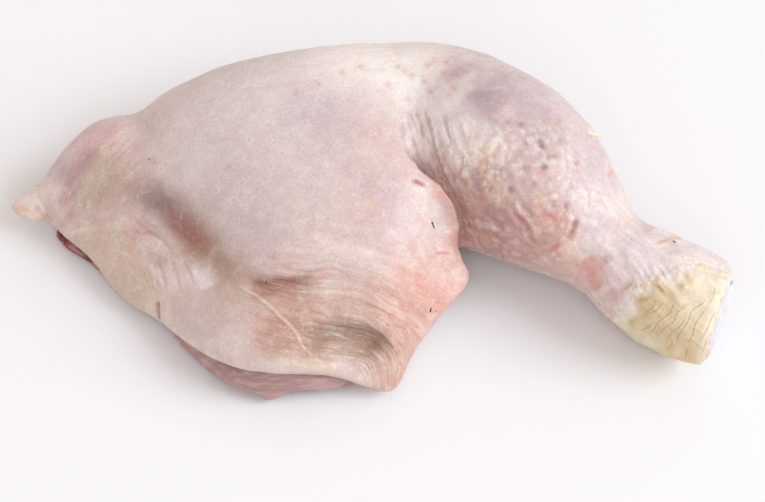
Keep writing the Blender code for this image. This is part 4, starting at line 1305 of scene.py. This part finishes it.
# Cartilage: smooth, wet and milky, blue where it is thin, so it has a clear gloss.
tint = add_node(cartilage, "Attribute", {"attribute_name": "tint"}).outputs["Color"]
swirls = {"Scale": 1 / 0.002, "Detail": 3.0}
milk = add_node(cartilage, "TexNoise", swirls, {"Vector": places}).outputs["Fac"]
mixed = veiled(cartilage, tint, milk, 0.4, 0.7, 0.5, "DDDCE1")
relief = add_node(cartilage, "Bump", {"Strength": 0.3, "Distance": 0.0002}, {"Height": milk}).outputs[0]
milky = {"Subsurface Weight": 0.3, "Subsurface Radius": (0.8, 0.8, 1.0), "Subsurface Scale": 0.002}
surfaced(cartilage, {"IOR": 1.4, "Roughness": 0.22, **milky}, {"Base Color": mixed, "Normal": relief})
joint.data.materials.append(cartilage)
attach(joint, "root")
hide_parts("hock_cartilage")

# ---- Bare meat under the thigh ---------------------------------------------------------------
# The muscle where the leg was cut from the back: dark red at the hip end, darker there with painted
# shade under the skin's edge, grey and drying along the near edge, with its fibres running the length of
# the thigh.

meat = merged_copy("bare_thigh_meat", ["thigh_meat"], swell=0.0)
evened(meat, voxel=0.8, rounds=5)
flesh = Painter(meat, "A87C78")
points = flesh.points
x, y, z = points.T
FIBRE_LENGTH, FIBRE_WIDTH = 9, 1.3
fibres = cloud(np.column_stack([(x + 0.2 * y) / FIBRE_LENGTH, y / FIBRE_WIDTH, z / FIBRE_WIDTH]), 1, 81)
flesh.lift += (0.28 * fibres + 0.4 * cloud(points, 6, 82)) * ramp(z, 0.2, 1.5)
# dark red meat at the hip end, darkened as painted shade where it lies under the skin's edge
flesh.dye(1 - ramp(x, -78, -58), "6F2F2B")
flesh.patch((-91, -2, 1.5), 5, "8A2A2A", 0.7)
flesh.dye(0.5 * ramp(x, -60, -40), "9C8380")
flesh.dye(np.clip(0.9 * fibres, 0, 0.5), "C3A8A2")
flesh.finish()
meat.data.shade_smooth()

raw_meat, places = new_material("raw_dark_meat")
# Raw dark meat: wet and see-through red, with white threads between its fibres, 0.9 mm apart.
tint = add_node(raw_meat, "Attribute", {"attribute_name": "tint"}).outputs["Color"]
stretched = add_node(raw_meat, "Mapping", {"Scale": (0.15, 1.0, 1.0)}, {"Vector": places}).outputs[0]
thread = {"Scale": 1 / 0.0009, "Detail": 3.0}
threads = add_node(raw_meat, "TexNoise", thread, {"Vector": stretched}).outputs["Fac"]
mixed = veiled(raw_meat, tint, threads, 0.5, 0.75, 0.5, "D3B5AE")
relief = add_node(raw_meat, "Bump", {"Strength": 0.5, "Distance": 0.0003}, {"Height": threads}).outputs[0]
gloss = add_node(raw_meat, "MapRange", {1: 0.3, 2: 0.7, 3: 0.25, 4: 0.45}, {0: threads}).outputs[0]
glow = {"Subsurface Weight": 0.25, "Subsurface Radius": (1.0, 0.3, 0.2), "Subsurface Scale": 0.002}
surfaced(raw_meat, {"IOR": 1.4, **glow}, {"Base Color": mixed, "Roughness": gloss, "Normal": relief})
meat.data.materials.append(raw_meat)
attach(meat, "root")
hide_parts("thigh_meat")

# ---- Tip of tail skin ------------------------------------------------------------------------
# A flap of the skin of the back, left on at the hip end: pale, pointed, with a rim of yellow fat.

tail = merged_copy("tail_skin_tip", ["tail_flap"], swell=0.3)
evened(tail, voxel=0.5, rounds=4)
tip = Painter(tail, "E6D6CF")
points = tip.points
tip.lift += 0.15 * cloud(points, 4.0, 91)
for place, radius, amount in TAIL_BENDS:
    tip.shift += amount * within(points, place, radius)[:, None] * UPWARD
for settings in TAIL_MARKS:
    tip.mark(*settings, ends=0)
tip.finish()
tail.data.shade_smooth()
tail.data.materials.append(raw_skin)
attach(tail, "root")
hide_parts("tail_flap")

# ---- Pin feathers ----------------------------------------------------------------------------
# What plucking left: dark stubs of quills, 1 to 3 mm long, and one yellowish quill at the back of
# the calf. They are horn, and their roots sit in the skin.

DARK_QUILL, YELLOW_QUILL = "2A201D", "F0E4BC"
STUBS = [  # root and tip in the view, how far each stands off the skin, thickness, colour
    ([(15.1, 8.9), (15.8, 7.0)], (-0.05, 0.20), 0.48, DARK_QUILL),
    ([(14.8, -17.4), (14.5, -18.7)], (-0.05, 0.25), 0.60, DARK_QUILL),
    ([(16.4, -17.1), (16.4, -18.7)], (-0.10, 0.05), 0.30, DARK_QUILL),
    ([(88.9, 3.1), (89.8, 2.4)], (-0.05, 0.15), 0.35, DARK_QUILL),
    ([(-71.5, 28.2), (-71.1, 27.8)], (-0.20, 0.25), 0.40, DARK_QUILL),
    ([(18.2, 22.3), (18.2, 22.0)], (-0.20, 0.25), 0.40, DARK_QUILL),
    ([(-35.6, -9.2), (-35.3, -9.5)], (-0.20, 0.25), 0.40, DARK_QUILL),
    ([(-66.2, -9.5), (-65.9, -9.5)], (-0.20, 0.25), 0.36, DARK_QUILL),
    ([(62.9, 36.4), (65.9, 34.3)], (-0.40, 1.60), 0.90, YELLOW_QUILL),
]
skin_points, skin_normals = points_of(leg), normals_of(leg)
turned_away = skin_normals @ TO_EYE < 0.02
skin_flat = seen(skin_points) + 1000 * turned_away[:, None]  # far from every stub
quills = []
for route, heights, thickness, colour in STUBS:
    ends = []
    for spot, height in zip(route, heights):
        closest = np.argmin(np.linalg.norm(skin_flat - spot, axis=1))
        right, up = np.array(spot) - skin_flat[closest]
        beside_it = right * np.array((1, 0, 0)) + up * UPWARD
        ends.append(skin_points[closest] + beside_it + height * skin_normals[closest])
    way = Vector(ends[1] - ends[0])
    bpy.ops.mesh.primitive_cone_add(
        vertices=8,
        radius1=thickness * 0.5 * MM,
        radius2=thickness * 0.3 * MM,
        depth=way.length * MM,
        location=Vector((ends[0] + ends[1]) / 2) * MM,
        rotation=way.to_track_quat("Z", "Y").to_euler(),
    )
    bpy.ops.object.transform_apply()
    quill = bpy.context.object
    modified(quill, "BEVEL", width=0.06 * MM, segments=2)
    Painter(quill, colour).finish()
    quills.append(quill)
for quill in quills:
    quill.select_set(True)
bpy.ops.object.join()
feathers = bpy.context.object
feathers.name = feathers.data.name = "pin_feathers"
feathers.data.shade_smooth()

quill_horn, places = new_material("pin_feather_horn")
# Horn of young quills: smooth and dull, darker and paler along its length as the blood dried in it.
tint = add_node(quill_horn, "Attribute", {"attribute_name": "tint"}).outputs["Color"]
short = {"Scale": 1 / 0.0005, "Detail": 2.0}
rings = add_node(quill_horn, "TexNoise", short, {"Vector": places}).outputs["Fac"]
mixed = veiled(quill_horn, tint, rings, 0.5, 0.7, 0.35, "7A675C")
surfaced(quill_horn, {"IOR": 1.54, "Roughness": 0.45}, {"Base Color": mixed})
feathers.data.materials.append(quill_horn)
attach(feathers, "root")
